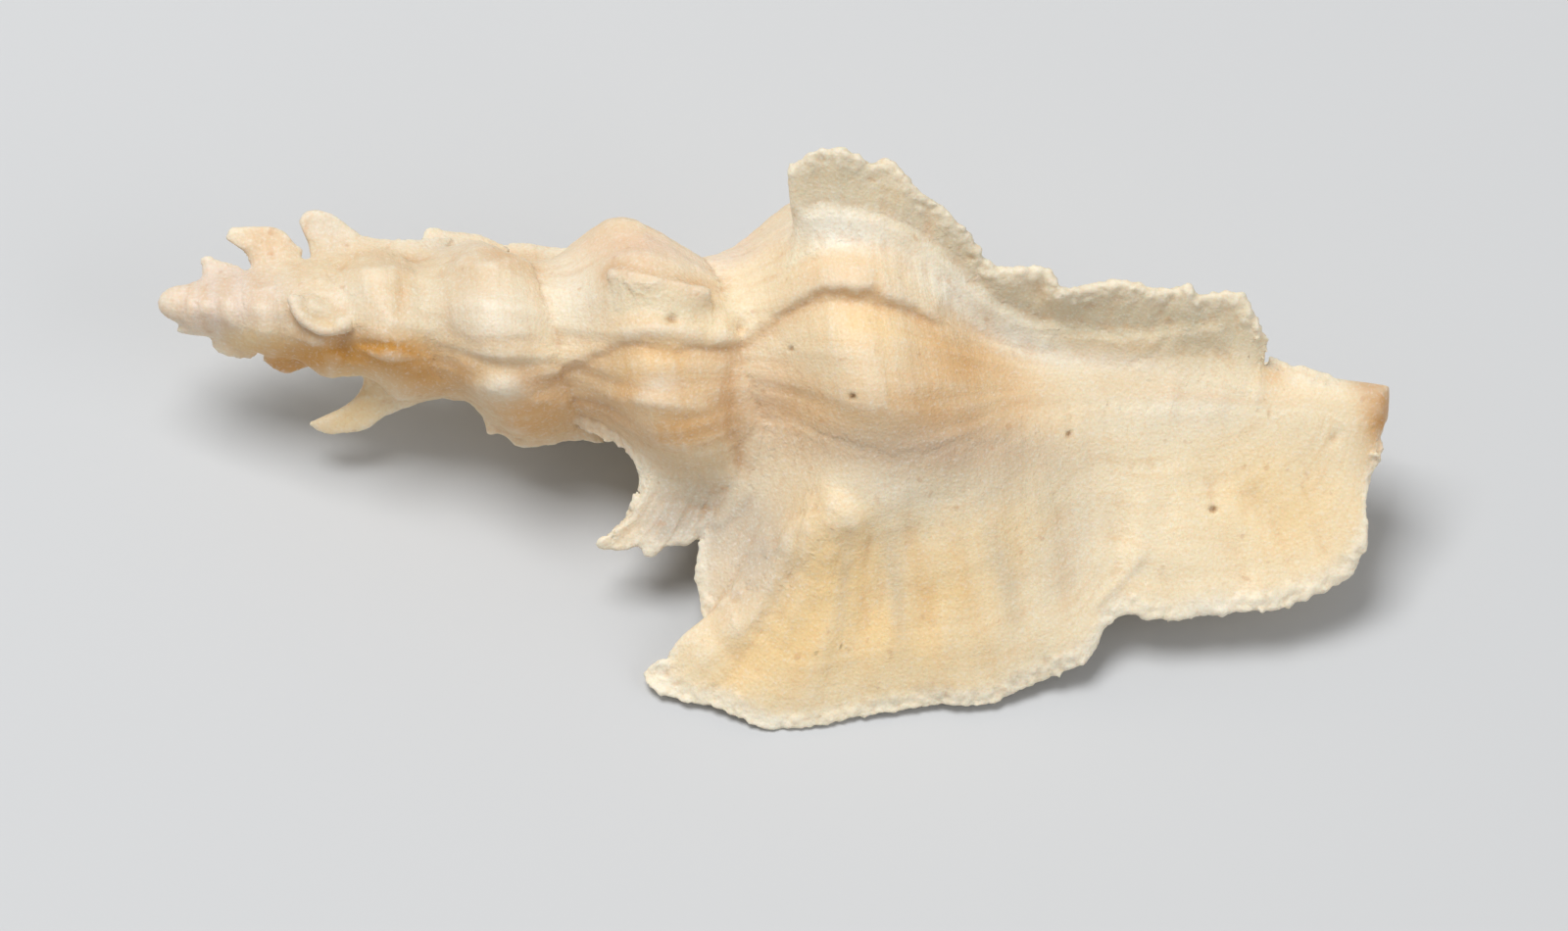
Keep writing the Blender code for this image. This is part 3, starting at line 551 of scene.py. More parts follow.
class Sheet:
    """The middle surface of a wing or flange, with the place of each point between foot and edge."""

    def __init__(self, name, angles, rows, spacing, body, sink):
        self.name = name
        rows = smooth_rows(rows, spacing)
        foot_x = rows[:, 0]
        angle = np.interp(foot_x, [x for x, _ in angles], [turn for _, turn in angles])
        self.foot = np.array([body.foot(x, turn, sink) for x, turn in zip(foot_x, angle)])
        self.edge = rows[:, 1:]
        self.reach = np.linalg.norm((self.edge - self.foot)[:, 1:], axis=1)
        middle = 0.5 * (self.foot + self.edge)
        steps = np.linalg.norm(np.diff(middle, axis=0), axis=1)
        self.travel = np.concatenate([[0.0], np.cumsum(steps)])
        self.spacing = spacing

    def ragged(self, size, height, seed):
        """Roughens the edge outwards and inwards by lumps of a size."""
        away = self.edge - self.foot
        away[:, 0] *= 0.5
        away /= np.linalg.norm(away, axis=1)[:, None] + 0.001
        shift = grain(self.edge, size, seed) + 0.6 * grain(self.edge, 0.45 * size, seed + 1)
        fade = np.minimum(1.0, self.reach / 2.0)
        self.edge = self.edge + away * (height * shift * fade)[:, None]

    def surface(self, relief):
        """Points of the middle surface, shifted along its normal by a relief function."""
        rings = max(4, math.ceil(self.reach.max() / self.spacing))
        out = np.linspace(0.0, 1.0, rings + 1)[None, :, None]
        foot = self.foot[:, None, :]
        edge = self.edge[:, None, :]
        points = foot + (edge - foot) * out
        over = np.maximum(0.0, self.foot[:, 0] - self.edge[:, 0]) / self.reach
        hook = (1.0 + HOOK_TURN * over)[:, None]
        points[..., 0] = foot[..., 0] + (edge - foot)[..., 0] * out[..., 0] ** hook
        along = np.gradient(points, axis=0)
        across = np.gradient(points, axis=1)
        normal = np.cross(along, across)
        normal /= np.linalg.norm(normal, axis=2)[..., None] + 1e-9
        if normal[..., 2].mean() < 0.0:
            normal = -normal
        self.out = np.broadcast_to(out[..., 0], points.shape[:2])
        self.normal = normal
        self.points = points + normal * relief(self, points)[..., None]
        return self.points

    def solid(self, foot_thickness, edge_thickness):
        """Closed mesh object of the sheet."""
        thinned = 1.0 - (1.0 - self.out) ** WING_THINNING
        half = 0.5 * (foot_thickness + (edge_thickness - foot_thickness) * thinned)
        half = half * (1.0 - 0.45 * step(self.out, 0.93, 1.0))
        front = self.points + self.normal * half[..., None]
        rear = self.points - self.normal * half[..., None]
        columns, rings = self.out.shape
        index = np.arange(columns * rings).reshape(columns, rings)
        back = index + columns * rings
        faces = []
        for a, flip in ((index, False), (back, True)):
            quads = np.stack([a[:-1, :-1], a[1:, :-1], a[1:, 1:], a[:-1, 1:]], axis=-1).reshape(-1, 4)
            faces += (quads[:, ::-1] if flip else quads).tolist()
        loop = np.concatenate([index[:, 0], index[-1, 1:], index[-2::-1, -1], index[0, -2:0:-1]])
        shifted = np.roll(loop, -1)
        size = columns * rings
        faces += np.stack([loop, loop + size, shifted + size, shifted], axis=-1).tolist()
        return mesh_object(self.name, np.vstack([front.reshape(-1, 3), rear.reshape(-1, 3)]), faces)


def ring_loft(name, rings):
    """Closed tube through rings of points, with a fan at each end."""
    count = len(rings[0])
    points = [point for ring in rings for point in ring]
    faces = []
    for first in range(len(rings) - 1):
        for i in range(count):
            j = (i + 1) % count
            a = first * count
            faces.append((a + i, a + j, a + count + j, a + count + i))
    for start in (0, (len(rings) - 1) * count):
        points.append(np.mean(points[start:start + count], axis=0))
        faces += [(len(points) - 1, start + i, start + (i + 1) % count) for i in range(count)]
    return mesh_object(name, points, faces)


def mouth_ring(angle, widen, shrink):
    """Oval section of the aperture's passage at an angle round the axis."""
    growth = bpy.context.scene.shell_shape.whorl_growth
    scale = growth ** ((RIM_START_ANGLE - max(angle, RIM_START_ANGLE)) / 360.0)
    turn = 2.0 * np.pi * np.arange(MOUTH_SIDES) / MOUTH_SIDES
    x = MOUTH_X * scale + (MOUTH_HALF_LENGTH * scale + widen) * shrink * np.cos(turn)
    radius = MOUTH_RADIUS * scale + (MOUTH_HALF_WIDTH * scale + widen) * shrink * np.sin(turn)
    angle = math.radians(angle)
    return np.stack([x, radius * math.sin(angle), radius * math.cos(angle)], axis=-1)


def mouth_passage():
    """Cutter for the aperture and the hollow of the last whorl behind it."""
    rings = []
    for t in np.linspace(0.0, 1.0, PASSAGE_RINGS):
        angle = MOUTH_FRONT_ANGLE + (MOUTH_BACK_ANGLE - MOUTH_FRONT_ANGLE) * t
        narrowed = 1.0 - MOUTH_NARROWING * np.clip((angle - RIM_START_ANGLE) / 40.0, 0.0, 1.0)
        rings.append(mouth_ring(angle, 0.0, narrowed * max(0.12, math.sqrt(1.0 - t ** 8))))
    return ring_loft("mouth_passage", rings)


def mouth_rim():
    """Raised rim round the aperture, wavy along its lip."""
    angles, widths = zip(*RIM_WIDTHS)
    turn = 2.0 * np.pi * np.arange(MOUTH_SIDES) / MOUTH_SIDES
    waves = 0.18 * step(np.sin(turn), 0.1, 0.7) * np.cos(turn * 26.0)
    rings = []
    for angle in np.linspace(angles[0], angles[-1], RIM_RINGS):
        width = np.interp(-angle, [-a for a in angles], widths)
        rings.append(mouth_ring(angle, width + waves * step(-angle, 76.0, 86.0), 1.0))
    return ring_loft("mouth_rim", rings)


def canal_channel():
    """Cutter for the open channel of the siphonal canal."""
    curve = bpy.data.curves.new("canal_channel", "CURVE")
    curve.dimensions = "3D"
    curve.bevel_depth = bpy.context.scene.shell_shape.channel_width / MM / 2.0
    curve.bevel_resolution = 4
    curve.resolution_u = 12
    curve.use_fill_caps = True
    spline = curve.splines.new("BEZIER")
    spline.bezier_points.add(len(CHANNEL_PATH) - 1)
    for point, (x, radius, angle) in zip(spline.bezier_points, CHANNEL_PATH):
        turn = math.radians(angle)
        point.co = (x, radius * math.sin(turn), radius * math.cos(turn))
        point.handle_left_type = point.handle_right_type = "AUTO"
    path = new_object("canal_path", curve)
    made = baked("canal_channel", path)
    bpy.data.objects.remove(path)
    edit_mesh(made.data, lambda mesh: bmesh.ops.remove_doubles(mesh, verts=mesh.verts[:], dist=0.001))
    outward(made.data)
    return made


def lumps_tree(name, kind):
    """Node tree that sets small lumps along a curve ("line") or scatters them over a mesh ("faces")."""
    tree, given, end = shape_tree(name, {
        "Geometry": "Geometry", "Count": "Int", "Density": "Float", "Size": "Vector",
        "Size variation": "Float", "Seed": "Int", "Material": "Material"})
    link = tree.links.new
    if kind == "line":
        points = tree.nodes.new("GeometryNodeCurveToPoints")
        link(given.outputs["Geometry"], points.inputs["Curve"])
        link(given.outputs["Count"], points.inputs["Count"])
    else:
        points = tree.nodes.new("GeometryNodeDistributePointsOnFaces")
        share = tree.nodes.new("GeometryNodeInputNamedAttribute")
        share.inputs["Name"].default_value = "crust"
        density = Formula(tree, share.outputs["Attribute"]) * Formula(tree, given.outputs["Density"])
        link(given.outputs["Geometry"], points.inputs["Mesh"])
        link(density.socket, points.inputs["Density"])
        link(given.outputs["Seed"], points.inputs["Seed"])
    lump = tree.nodes.new("GeometryNodeMeshIcoSphere")
    lump.inputs["Subdivisions"].default_value = 2
    spread = tree.nodes.new("FunctionNodeRandomValue")
    spread.data_type = "FLOAT"
    link(given.outputs["Seed"], spread.inputs["Seed"])
    low = Formula(tree, given.outputs["Size variation"]) * -1.0 + 1.0
    link(low.socket, spread.inputs[2])
    spread.inputs[3].default_value = 1.0
    scale = tree.nodes.new("ShaderNodeVectorMath")
    scale.operation = "SCALE"
    link(given.outputs["Size"], scale.inputs[0])
    link(spread.outputs[1], scale.inputs["Scale"])
    instance = tree.nodes.new("GeometryNodeInstanceOnPoints")
    for socket, name in ((points.outputs["Points"], "Points"), (points.outputs["Rotation"], "Rotation"),
                         (lump.outputs["Mesh"], "Instance"), (scale.outputs[0], "Scale")):
        link(socket, instance.inputs[name])
    link(instance.outputs[0], end)
    return tree


# Folds of the last wings: wing, start and end (x, y) of the fold, its width and its height in mm.
WING_FOLDS = (
    ("labral", (40.5, -6), (32.4, -16.6), 1.5, 0.55), ("labral", (43.5, -7), (38.6, -21), 2.4, -0.5),
    ("labral", (47, -8), (48.5, -18.5), 2.6, 0.35), ("labral", (36.5, -12), (30.5, -18.5), 1.3, -0.45),
    ("labral", (52, -8), (54.5, -15.5), 1.8, -0.15), ("labral", (56, -6), (62, -12.5), 2.2, 0.25),
    ("labral", (61, -4.5), (68, -9), 1.4, -0.2), ("dorsal", (37.5, 4), (37.8, 12), 1, 0.25),
    ("dorsal", (42.5, 4), (43.4, 9), 1.3, -0.3), ("dorsal", (50, 2.5), (51, 6), 0.9, 0.25),
    ("dorsal", (57.6, 3), (58.2, 6), 0.7, 0.25), ("back", (34, 3), (34, 4), 2, 0.4),
    ("back", (42, 3), (43, 4), 2, -0.4), ("labral_2", (28.5, -6), (26, -11.5), 0.8, 0.3),
    ("labral_2", (31.5, -7), (31.5, -11), 0.9, -0.25))
PLEAT_SPACING = 3.0

# Ledges on the upper side: a line of (x, y) whose left side stands higher, the height, how far the step
# is spread, how far from the line the height fades, in mm, and the colour and strength of its shadow.
LEDGES = (
    (((31, 0.2), (33, 0.5), (34, 1.2), (35.1, 2.1), (36.2, 2.9), (37.2, 3.7), (38.3, 3.9), (39.2, 3.8),
      (40.3, 4), (41.2, 3.5), (42.4, 3.3), (43.4, 2.7), (44.6, 2.4)), 0.32, 0.32, 3.2, "brown", 0.28),
    (((21.5, -2.9), (23, -2), (25, -0.9), (26.5, -0.2), (28, 0), (29, -0.2), (31, 0.1), (33, 0)),
     0.26, 0.3, 2, "brown", 0.26),
    (((34.4, -7.4), (34, -6), (33.6, -4), (33.3, -2), (33.2, 0.3)), -0.22, 0.4, 1.2, "brown", 0.26),
    (((31.4, -11.6), (32.2, -10.1), (33.3, -9.6), (34.1, -8.4), (34.3, -7)), 0.16, 0.2, 1.6, "grey", 0.3),
    (((32, 3.2), (30, 3.4), (28.5, 3.7), (27, 3.9), (25.5, 3.8), (25.8, 2.4)), 0.22, 0.2, 1.8, "brown", 0.4),
    (((7.5, 1.1), (7.6, 0.6), (8.1, -0.2), (8.9, -0.8), (10.1, -1.1), (11.1, -0.7), (12.2, -0.5)),
     0.2, 0.12, 1, "brown", 0.4),
    (((16.9, 2.3), (16.8, 0.9), (17, -0.1), (17.8, -0.5), (20, -0.4), (22.6, 0)), 0.12, 0.3, 2.2, "tan", 0.28),
    (((61, 4.2), (58, 3.7), (55, 3), (50, 3.2), (47, 4.2), (45.5, 5.1), (43.5, 6.7), (41, 7.9), (38.5, 8.4),
      (36.5, 8.2), (35.4, 7.4)), 0.28, 0.4, 1.8, "olive", 0.75),
    (((39.3, -6.6), (37.6, -8.9), (36.4, -10.5), (34.5, -13.3), (32.6, -16)), 0.4, 0.9, 4, "tan", 0.12),
    (((54, -13.2), (54.6, -12.4), (55.6, -11.3), (56.4, -10.2), (57.2, -8.8)), 0.04, 0.07, 0.6, "grey", 0.4))

# Low forms on the upper side of the coiled body: centre (x, y), half length, half width, turn in
# degrees and height in mm.
BODY_LUMPS = (
    (40.4, 0.9, 5.4, 1.8, 0, 0.25), (44.6, 5, 5.5, 1.6, -32, 0.35), (29.2, 1.45, 0.35, 0.25, 0, -0.3),
    (32.8, 1.2, 0.6, 0.5, 0, -0.25), (28.5, -3.2, 2.6, 0.45, -4, 0.22), (26, -4.6, 2.6, 0.5, -14, 0.15),
    (28.6, -0.9, 2.6, 1, 4, 0.15), (19.8, 1, 2.6, 1, 3, 0.05), (19.2, 3.3, 1.9, 0.9, -8, 0.22),
    (16.2, 3.6, 0.4, 1.3, -30, -0.18), (19.9, -3, 1.1, 0.8, 0, 0.35), (17.9, -2.2, 0.8, 0.6, 0, 0.15),
    (15.4, -0.3, 1.6, 0.5, -15, 0.15), (12, -1.5, 2.6, 0.35, 2, -0.2), (9.5, 0.2, 1.6, 0.45, -24, 0.28),
    (8.4, 1.9, 0.8, 0.35, -70, 0.1), (11.9, 2.2, 1.3, 1.1, 10, 0.28), (10.4, 3.1, 1.2, 0.3, 45, -0.15),
    (13.9, 1.6, 0.4, 1.4, 0, -0.15), (5.9, -1.9, 1.5, 0.5, -4, 0.15), (20.3, 3.9, 2, 0.4, 12, 0.15),
    (41.5, -5.2, 6, 1.2, -2, -0.08), (53.4, -1, 0.3, 1.3, 25, 0.1), (57.6, -0.5, 0.3, 1.5, 5, 0.12),
    (60.4, -0.2, 0.3, 1.3, 5, 0.1), (62.4, 0.1, 0.3, 1, -10, 0.1), (39.6, -2, 0.16, 0.16, 0, -0.3),
    (36, 0.4, 0.16, 0.14, 0, -0.2), (60.5, -6.5, 0.2, 0.18, 0, -0.3), (52, -3, 0.2, 0.14, 60, -0.25),
    (67, -1.9, 0.5, 0.3, 60, -0.15))

# Stretches of the upper side where the wings run smoothly into the body: line of (x, y), half width and
# strength.
BLENDS = (
    (((34.8, -7), (37.5, -5.9), (41, -5.7), (45, -5.5), (49, -4.7), (53, -3.7), (58, -2.8), (63, -2),
      (69, -1.3)), 3.4, 1),
    (((35, 6), (38.5, 7), (42, 6.2), (45, 4.4), (48, 3), (52, 2.3), (58, 2.2), (64, 1.6)), 2, 1),
    (((2.6, 1.5), (6, 2.6), (9, 3.3), (12, 4), (15, 4.6), (19, 5)), 1.3, 1),
    (((3, -1.3), (6.5, -2.5), (9.5, -2.6)), 0.9, 1),
    (((11.5, -3.2), (14, -3.4), (17, -3.9), (22, -4.8), (26, -5.6)), 1.1, 1),
    (((27.5, -6.4), (30, -7.2), (33.8, -7.6)), 1.5, 1),
    (((33, -9.8), (34.2, -8.2), (35, -6.8)), 1, 0.15),
    (((70.5, -1.5), (69, -1.6), (66, -1.6)), 1.6, 1),
    (((25.8, 1.6), (28.5, 2.2), (30.5, 2.2), (32.4, 2.3), (33.2, 3)), 1.2, 1),
    (((8, 1.6), (9.2, 1.3), (10.6, 1.1), (12, 0.5), (12.8, 0)), 0.7, 0.3),
    (((46, 0.8), (50, 0.5), (55, 0.2), (60, 0.2), (66, 0.2)), 2.2, 0.7))
BLEND_ROUNDS = 380


def length_property(name, description, default, low, high, precision=4):
    return FloatProperty(name=name, description=description, default=default, min=low, max=high,
                         precision=precision, subtype="DISTANCE", unit="LENGTH")


def share_property(name, description, default, high, low=0.0):
    return FloatProperty(name=name, description=description, default=default, min=low, max=high,
                         subtype="FACTOR")


def colour_property(name, description, default):
    return FloatVectorProperty(name=name, description=description, default=default, size=3, min=0.0, max=1.0,
                               subtype="COLOR")


class ShellShape(bpy.types.PropertyGroup):
    length: length_property("Length", "From the apex to the tip of the canal",
                            round((CAD_BOX[1] - CAD_BOX[0]).x, 4), 0.02, 0.3)
    lip_suture: length_property("Lip suture", "From the apex to where the lip meets the spire",
                                0.0355, 0.01, 0.15)
    whorl_growth: share_property("Whorl growth", "How much each whorl is larger than the last", 1.47, 2.0, 1.2)
    apex_radius: length_property("Apex radius", "Radius of the rounded first whorls", 0.00115, 0.0005, 0.003, 5)
    labral_varix: share_property("Labral varix", "Height of its swelling, as a share of the radius", 0.04, 0.5)
    dorsal_varix: share_property("Dorsal varix", "Height of its swelling, as a share of the radius", 0.15, 0.5)
    back_varix: share_property("Back varix", "Height of its swelling, as a share of the radius", 0.07, 0.5)
    node_height: share_property("Node height", "Height of the knobs between the varices, as a share of the "
                                "radius", 0.07, 0.4)
    wing_foot: length_property("Wing foot", "Thickness of the wings where they leave the body",
                               0.0024, 0.001, 0.005)
    wing_edge: length_property("Wing edge", "Thickness of the wings at their edge", 0.00065, 0.0004, 0.002, 5)
    channel_width: length_property("Canal channel", "Width of the open channel under the canal",
                                   0.0011, 0.0006, 0.003)
    lip_teeth: IntProperty(name="Lip teeth", description="Number of small teeth inside the outer lip",
                           default=8, min=0, max=20)


class ShellRelief(bpy.types.PropertyGroup):
    mesh_size: length_property("Mesh size", "Size of the finest forms", 0.00014, 0.0001, 0.0005, 5)
    triangles: IntProperty(name="Triangles", description="Most triangles of the finished shell",
                           default=188000, min=20000, max=199000)
    growth_lines: length_property("Growth lines", "Height of the growth lines", 0.00007, 0.0, 0.0004, 5)
    threads: length_property("Spiral threads", "Height of the cords that follow the coil",
                             0.00006, 0.0, 0.0004, 5)
    crust: length_property("Crust", "Height of the rough crust on the wings' edges", 0.00012, 0.0, 0.0005, 5)
    crust_width: length_property("Crust width", "Width of the crust along the wings' edges", 0.0013, 0.0, 0.004)
    grain_size: length_property("Grain size", "Half width of the crust's largest grains",
                                0.00018, 0.0001, 0.0005, 5)
    seed: IntProperty(name="Seed", description="Number that settles the grains' places", default=7, min=0)


class ShellColours(bpy.types.PropertyGroup):
    # Besides their own colours: brown paints shade into the hollows and, with grey, into the valley under the
    # dome; white paints a highlight on the ridges; brown, grey, tan and olive paint the shadows along the
    # ledges.
    cream: colour_property("Cream", "Ground colour of the shell", (0.87, 0.74, 0.51))
    tan: colour_property("Tan", "Warm colour of the domes between the varices", (0.75, 0.44, 0.18))
    yellow: colour_property("Yellow", "Colour of the spine's open fold", (0.93, 0.66, 0.31))
    grey: colour_property("Grey", "Colour of the thin webs", (0.55, 0.48, 0.38))
    white: colour_property("White", "Colour of the crust and the varices' faces", (0.88, 0.82, 0.68))
    brown: colour_property("Brown", "Colour of the stains and the tip of the canal", (0.54, 0.26, 0.09))
    dark: colour_property("Dark", "Colour of the few dark specks", (0.10, 0.07, 0.045))
    ochre: colour_property("Ochre", "Strong warm colour under the hooks and at the canal's tip",
                           (0.64, 0.31, 0.06))
    pink: colour_property("Pink", "Pale colour of the early whorls and the shoulders", (0.86, 0.69, 0.56))
    olive: colour_property("Olive", "Colour of the thin dorsal flange", (0.60, 0.52, 0.36))
    mouth: colour_property("Mouth", "Colour inside the aperture", (0.86, 0.66, 0.52))


class ShellStudio(bpy.types.PropertyGroup):
    floor_colour: colour_property("Floor", "Colour of the floor", (0.60, 0.61, 0.62))
    key_power: FloatProperty(name="Key light", description="Power of the large soft light", default=2.85,
                             min=0.0, subtype="POWER", unit="POWER")
    fill_strength: FloatProperty(name="Fill light", description="Strength of the light from all round",
                                 default=0.33, min=0.0)
    lens: FloatProperty(name="Lens", description="Focal length of the camera's lens", default=200.0, min=35.0,
                        subtype="DISTANCE_CAMERA")
    picture_width: length_property("Picture width", "Width that the picture shows at the shell",
                                   0.0888, 0.03, 1.0)


def put_away(name):
    """Removes an object that an operator makes again."""
    old = bpy.data.objects.get(name)
    if old is not None:
        bpy.data.objects.remove(old)


def needed(name):
    """An object that an earlier operator made."""
    found = bpy.data.objects.get(name)
    if found is None:
        raise RuntimeError(f"{name} is missing: its operator runs first")
    return found


def keep_values(data, name, values):
    """Stores one number for each vertex of a mesh."""
    layer = data.attributes.get(name) or data.attributes.new(name, "FLOAT", "POINT")
    layer.data.foreach_set("value", np.asarray(values, dtype=np.float32).ravel())


def kept_values(data, name):
    """Numbers that a mesh holds for its vertices."""
    values = np.empty(len(data.vertices), dtype=np.float32)
    data.attributes[name].data.foreach_get("value", values)
    return values


def fold(points, start, end, width):
    """Strength of a straight fold seen from above, 1 on its line and fading over its width."""
    start = np.array(start)
    run = np.array(end) - start
    flat = points[..., :2] - start
    t = np.clip((flat @ run) / (run @ run), 0.0, 1.0)
    gap = np.linalg.norm(flat - t[..., None] * run, axis=-1)
    return np.exp(-(gap / width) ** 2)


def line_gap(points, line):
    """Distance from points to a smooth line seen from above, positive on its left side, and how near to
    the line's ends they lie, from 0 at an end or beyond it to 1 from 1.5 mm or 0.3 of its length inside."""
    line = smooth_rows([(0.0, *place) for place in line], 0.3)[:, 1:]
    lengths = np.linalg.norm(np.diff(line, axis=0), axis=1)
    starts = np.concatenate([[0.0], np.cumsum(lengths)])
    nearest = np.full(len(points), np.inf)
    side = np.zeros(len(points))
    place = np.zeros(len(points))
    for start, end, before, length in zip(line[:-1], line[1:], starts, lengths):
        run = end - start
        flat = points[:, :2] - start
        t = np.clip((flat @ run) / (run @ run), 0.0, 1.0)
        gap = np.linalg.norm(flat - t[:, None] * run, axis=1)
        left = run[0] * flat[:, 1] - run[1] * flat[:, 0]
        closer = gap < nearest
        nearest = np.where(closer, gap, nearest)
        side = np.where(closer, np.sign(left), side)
        place = np.where(closer, before + t * length, place)
    taper = min(1.5, 0.3 * starts[-1])
    return nearest * side, step(place, 0.0, taper) * step(starts[-1] - place, 0.0, taper)


def ledge(points, line, height, spread, fade):
    """Height of a ledge seen from above: full just left of its line, none on the right."""
    gap, inside = line_gap(points, line)
    gap = gap + 0.5 * spread * grain(points, 0.8, 11)
    return height * step(gap, -spread, spread) * (1.0 - step(gap, spread, fade)) * inside


def neighbour_sums(points, a, b):
    """Sum of the positions of each vertex's neighbours, from both vertices of each edge."""
    return np.stack([np.bincount(a, points[b, k], len(points)) + np.bincount(b, points[a, k], len(points))
                     for k in range(3)], axis=1)


def soften(data, strength, rounds):
    """Evens out a skin where a strength from 0 to 1 says so."""
    points = coordinates(data)
    ends = edge_ends(data)
    ends = ends[(strength > 0.01)[ends].any(axis=1)]
    used, local = np.unique(ends, return_inverse=True)
    a, b = local.reshape(-1, 2).T
    near = points[used]
    count = (np.bincount(a, minlength=len(used)) + np.bincount(b, minlength=len(used)))[:, None]
    share = 0.6 * strength[used][:, None]
    for _ in range(rounds):
        near = near + share * (neighbour_sums(near, a, b) / count - near)
    points[used] = near
    set_coordinates(data, points)


def blend_wings(data):
    """Runs the feet of the wings and flanges smoothly into the body on the upper side."""
    points = coordinates(data)
    upper = step(coordinates(data, "normal")[:, 2], -0.2, 0.2)
    strength = np.zeros(len(points))
    seen = np.nonzero(upper > 0.0)[0]
    for line, width, most in BLENDS:
        gap = np.abs(line_gap(points[seen], line)[0])
        strength[seen] = np.maximum(strength[seen], most * (1.0 - step(gap, 0.45 * width, width)) * upper[seen])
    soften(data, strength, BLEND_ROUNDS)


def wing_relief(sheet, points):
    """How far a wing or flange bulges from its plain surface."""
    shift = np.zeros(points.shape[:2])
    for name, start, end, width, height in WING_FOLDS:
        if name == sheet.name:
            shift = shift + height * fold(points, start, end, width)
    flat = points.reshape(-1, 3)
    waves = grain(flat, 4.5, 3).reshape(shift.shape)
    travel = sheet.travel[:, None] + 1.2 * waves
    pleats = np.sin(2.0 * np.pi * travel / PLEAT_SPACING)
    size = np.minimum(1.0, sheet.reach / 9.0)[:, None]
    shift = shift + size * (0.07 * pleats + 0.22 * waves)
    return shift * step(sheet.out, 0.05, 0.35)


def sheet_solid(name, angles, rows, spacing, foot_thickness, edge_thickness, crusting):
    """Wing or flange as a closed mesh that knows each point's distance from the edge and along it."""
    body = Body(needed("coiled_body").data)
    sheet = Sheet(name, angles, rows, spacing, body, min(WING_SINK, 0.5 * foot_thickness))
    sheet.ragged(0.8, 0.03 + 0.11 * crusting, len(name) + len(rows))
    sheet.surface(wing_relief)
    made = sheet.solid(foot_thickness, edge_thickness)
    rim = (1.0 - sheet.out) * sheet.reach[:, None]
    travel = np.broadcast_to(sheet.travel[:, None], sheet.out.shape)
    width = bpy.context.scene.shell_relief.crust_width / MM
    crust = crusting * (1.0 - step(rim, 0.4 * width, 1.2 * width))
    for label, values in (("rim", rim), ("travel", travel), ("crust", crust)):
        keep_values(made.data, label, np.tile(values.ravel(), 2))
    return made


def merged(name, parts):
    """One object of several objects' meshes, which it uses up."""
    mesh = bmesh.new()
    for part in parts:
        mesh.from_mesh(part.data)
    data = bpy.data.meshes.new(name)
    mesh.to_mesh(data)
    mesh.free()
    for part in parts:
        bpy.data.objects.remove(part)
    return new_object(name, data)


def remesh(thing, size):
    """Rebuilds closed forms that cross as one skin."""
    modifier = thing.modifiers.new("Skin", "REMESH")
    modifier.mode = "VOXEL"
    modifier.voxel_size = size
    apply_modifiers(thing)


def cut(thing, cutter):
    """Takes one closed form out of another."""
    modifier = thing.modifiers.new("Cut", "BOOLEAN")
    modifier.operation = "DIFFERENCE"
    modifier.solver = "MANIFOLD"
    modifier.object = cutter
    apply_modifiers(thing)
    bpy.data.objects.remove(cutter)


def edge_ends(data):
    """Both vertices of each edge of a mesh."""
    ends = np.empty(len(data.edges) * 2, dtype=np.int64)
    data.edges.foreach_get("vertices", ends)
    return ends.reshape(-1, 2)


def keep_largest(data):
    """Removes the specks and closed bubbles that aren't joined to a mesh's largest piece."""
    ends = edge_ends(data)
    label = np.arange(len(data.vertices))
    while True:
        lowest = np.minimum(label[ends[:, 0]], label[ends[:, 1]])
        before = label.copy()
        np.minimum.at(label, ends[:, 0], lowest)
        np.minimum.at(label, ends[:, 1], lowest)
        label = label[label]
        if np.array_equal(before, label):
            break
    loose = np.nonzero(label != np.argmax(np.bincount(label)))[0].tolist()

    def drop_loose(mesh):
        mesh.verts.ensure_lookup_table()
        bmesh.ops.delete(mesh, geom=[mesh.verts[i] for i in loose], context="VERTS")

    if loose:
        edit_mesh(data, drop_loose)


def hollowness(data, points, rounds):
    """How deep each vertex lies in a hollow, in mm, and less than 0 on a ridge."""
    a, b = edge_ends(data).T
    count = np.bincount(np.concatenate([a, b]), minlength=len(points))[:, None]
    soft = points
    for _ in range(rounds):
        soft = neighbour_sums(soft, a, b) / np.maximum(count, 1)
    return np.sum((soft - points) * coordinates(data, "normal"), axis=1)


def coil_place(x, angle):
    """Share of its whorl and distance round the coil, in mm, of places on the coiled body."""
    shape = bpy.context.scene.shell_shape
    growth = np.mod(-angle + (LIP_ANGLE - LIP_RUN_ON), 360.0) + (LIP_RUN_ON - 360.0)
    along = np.log(np.maximum(x, 0.3) / (shape.lip_suture / MM)) / math.log(shape.whorl_growth)
    inward = np.maximum(0.0, np.ceil(growth / 360.0 - along))
    share = along - growth / 360.0 + inward
    places, sizes = zip(*SHOULDER_RADIUS)
    return share, np.radians(angle) * np.interp(x, places, sizes)


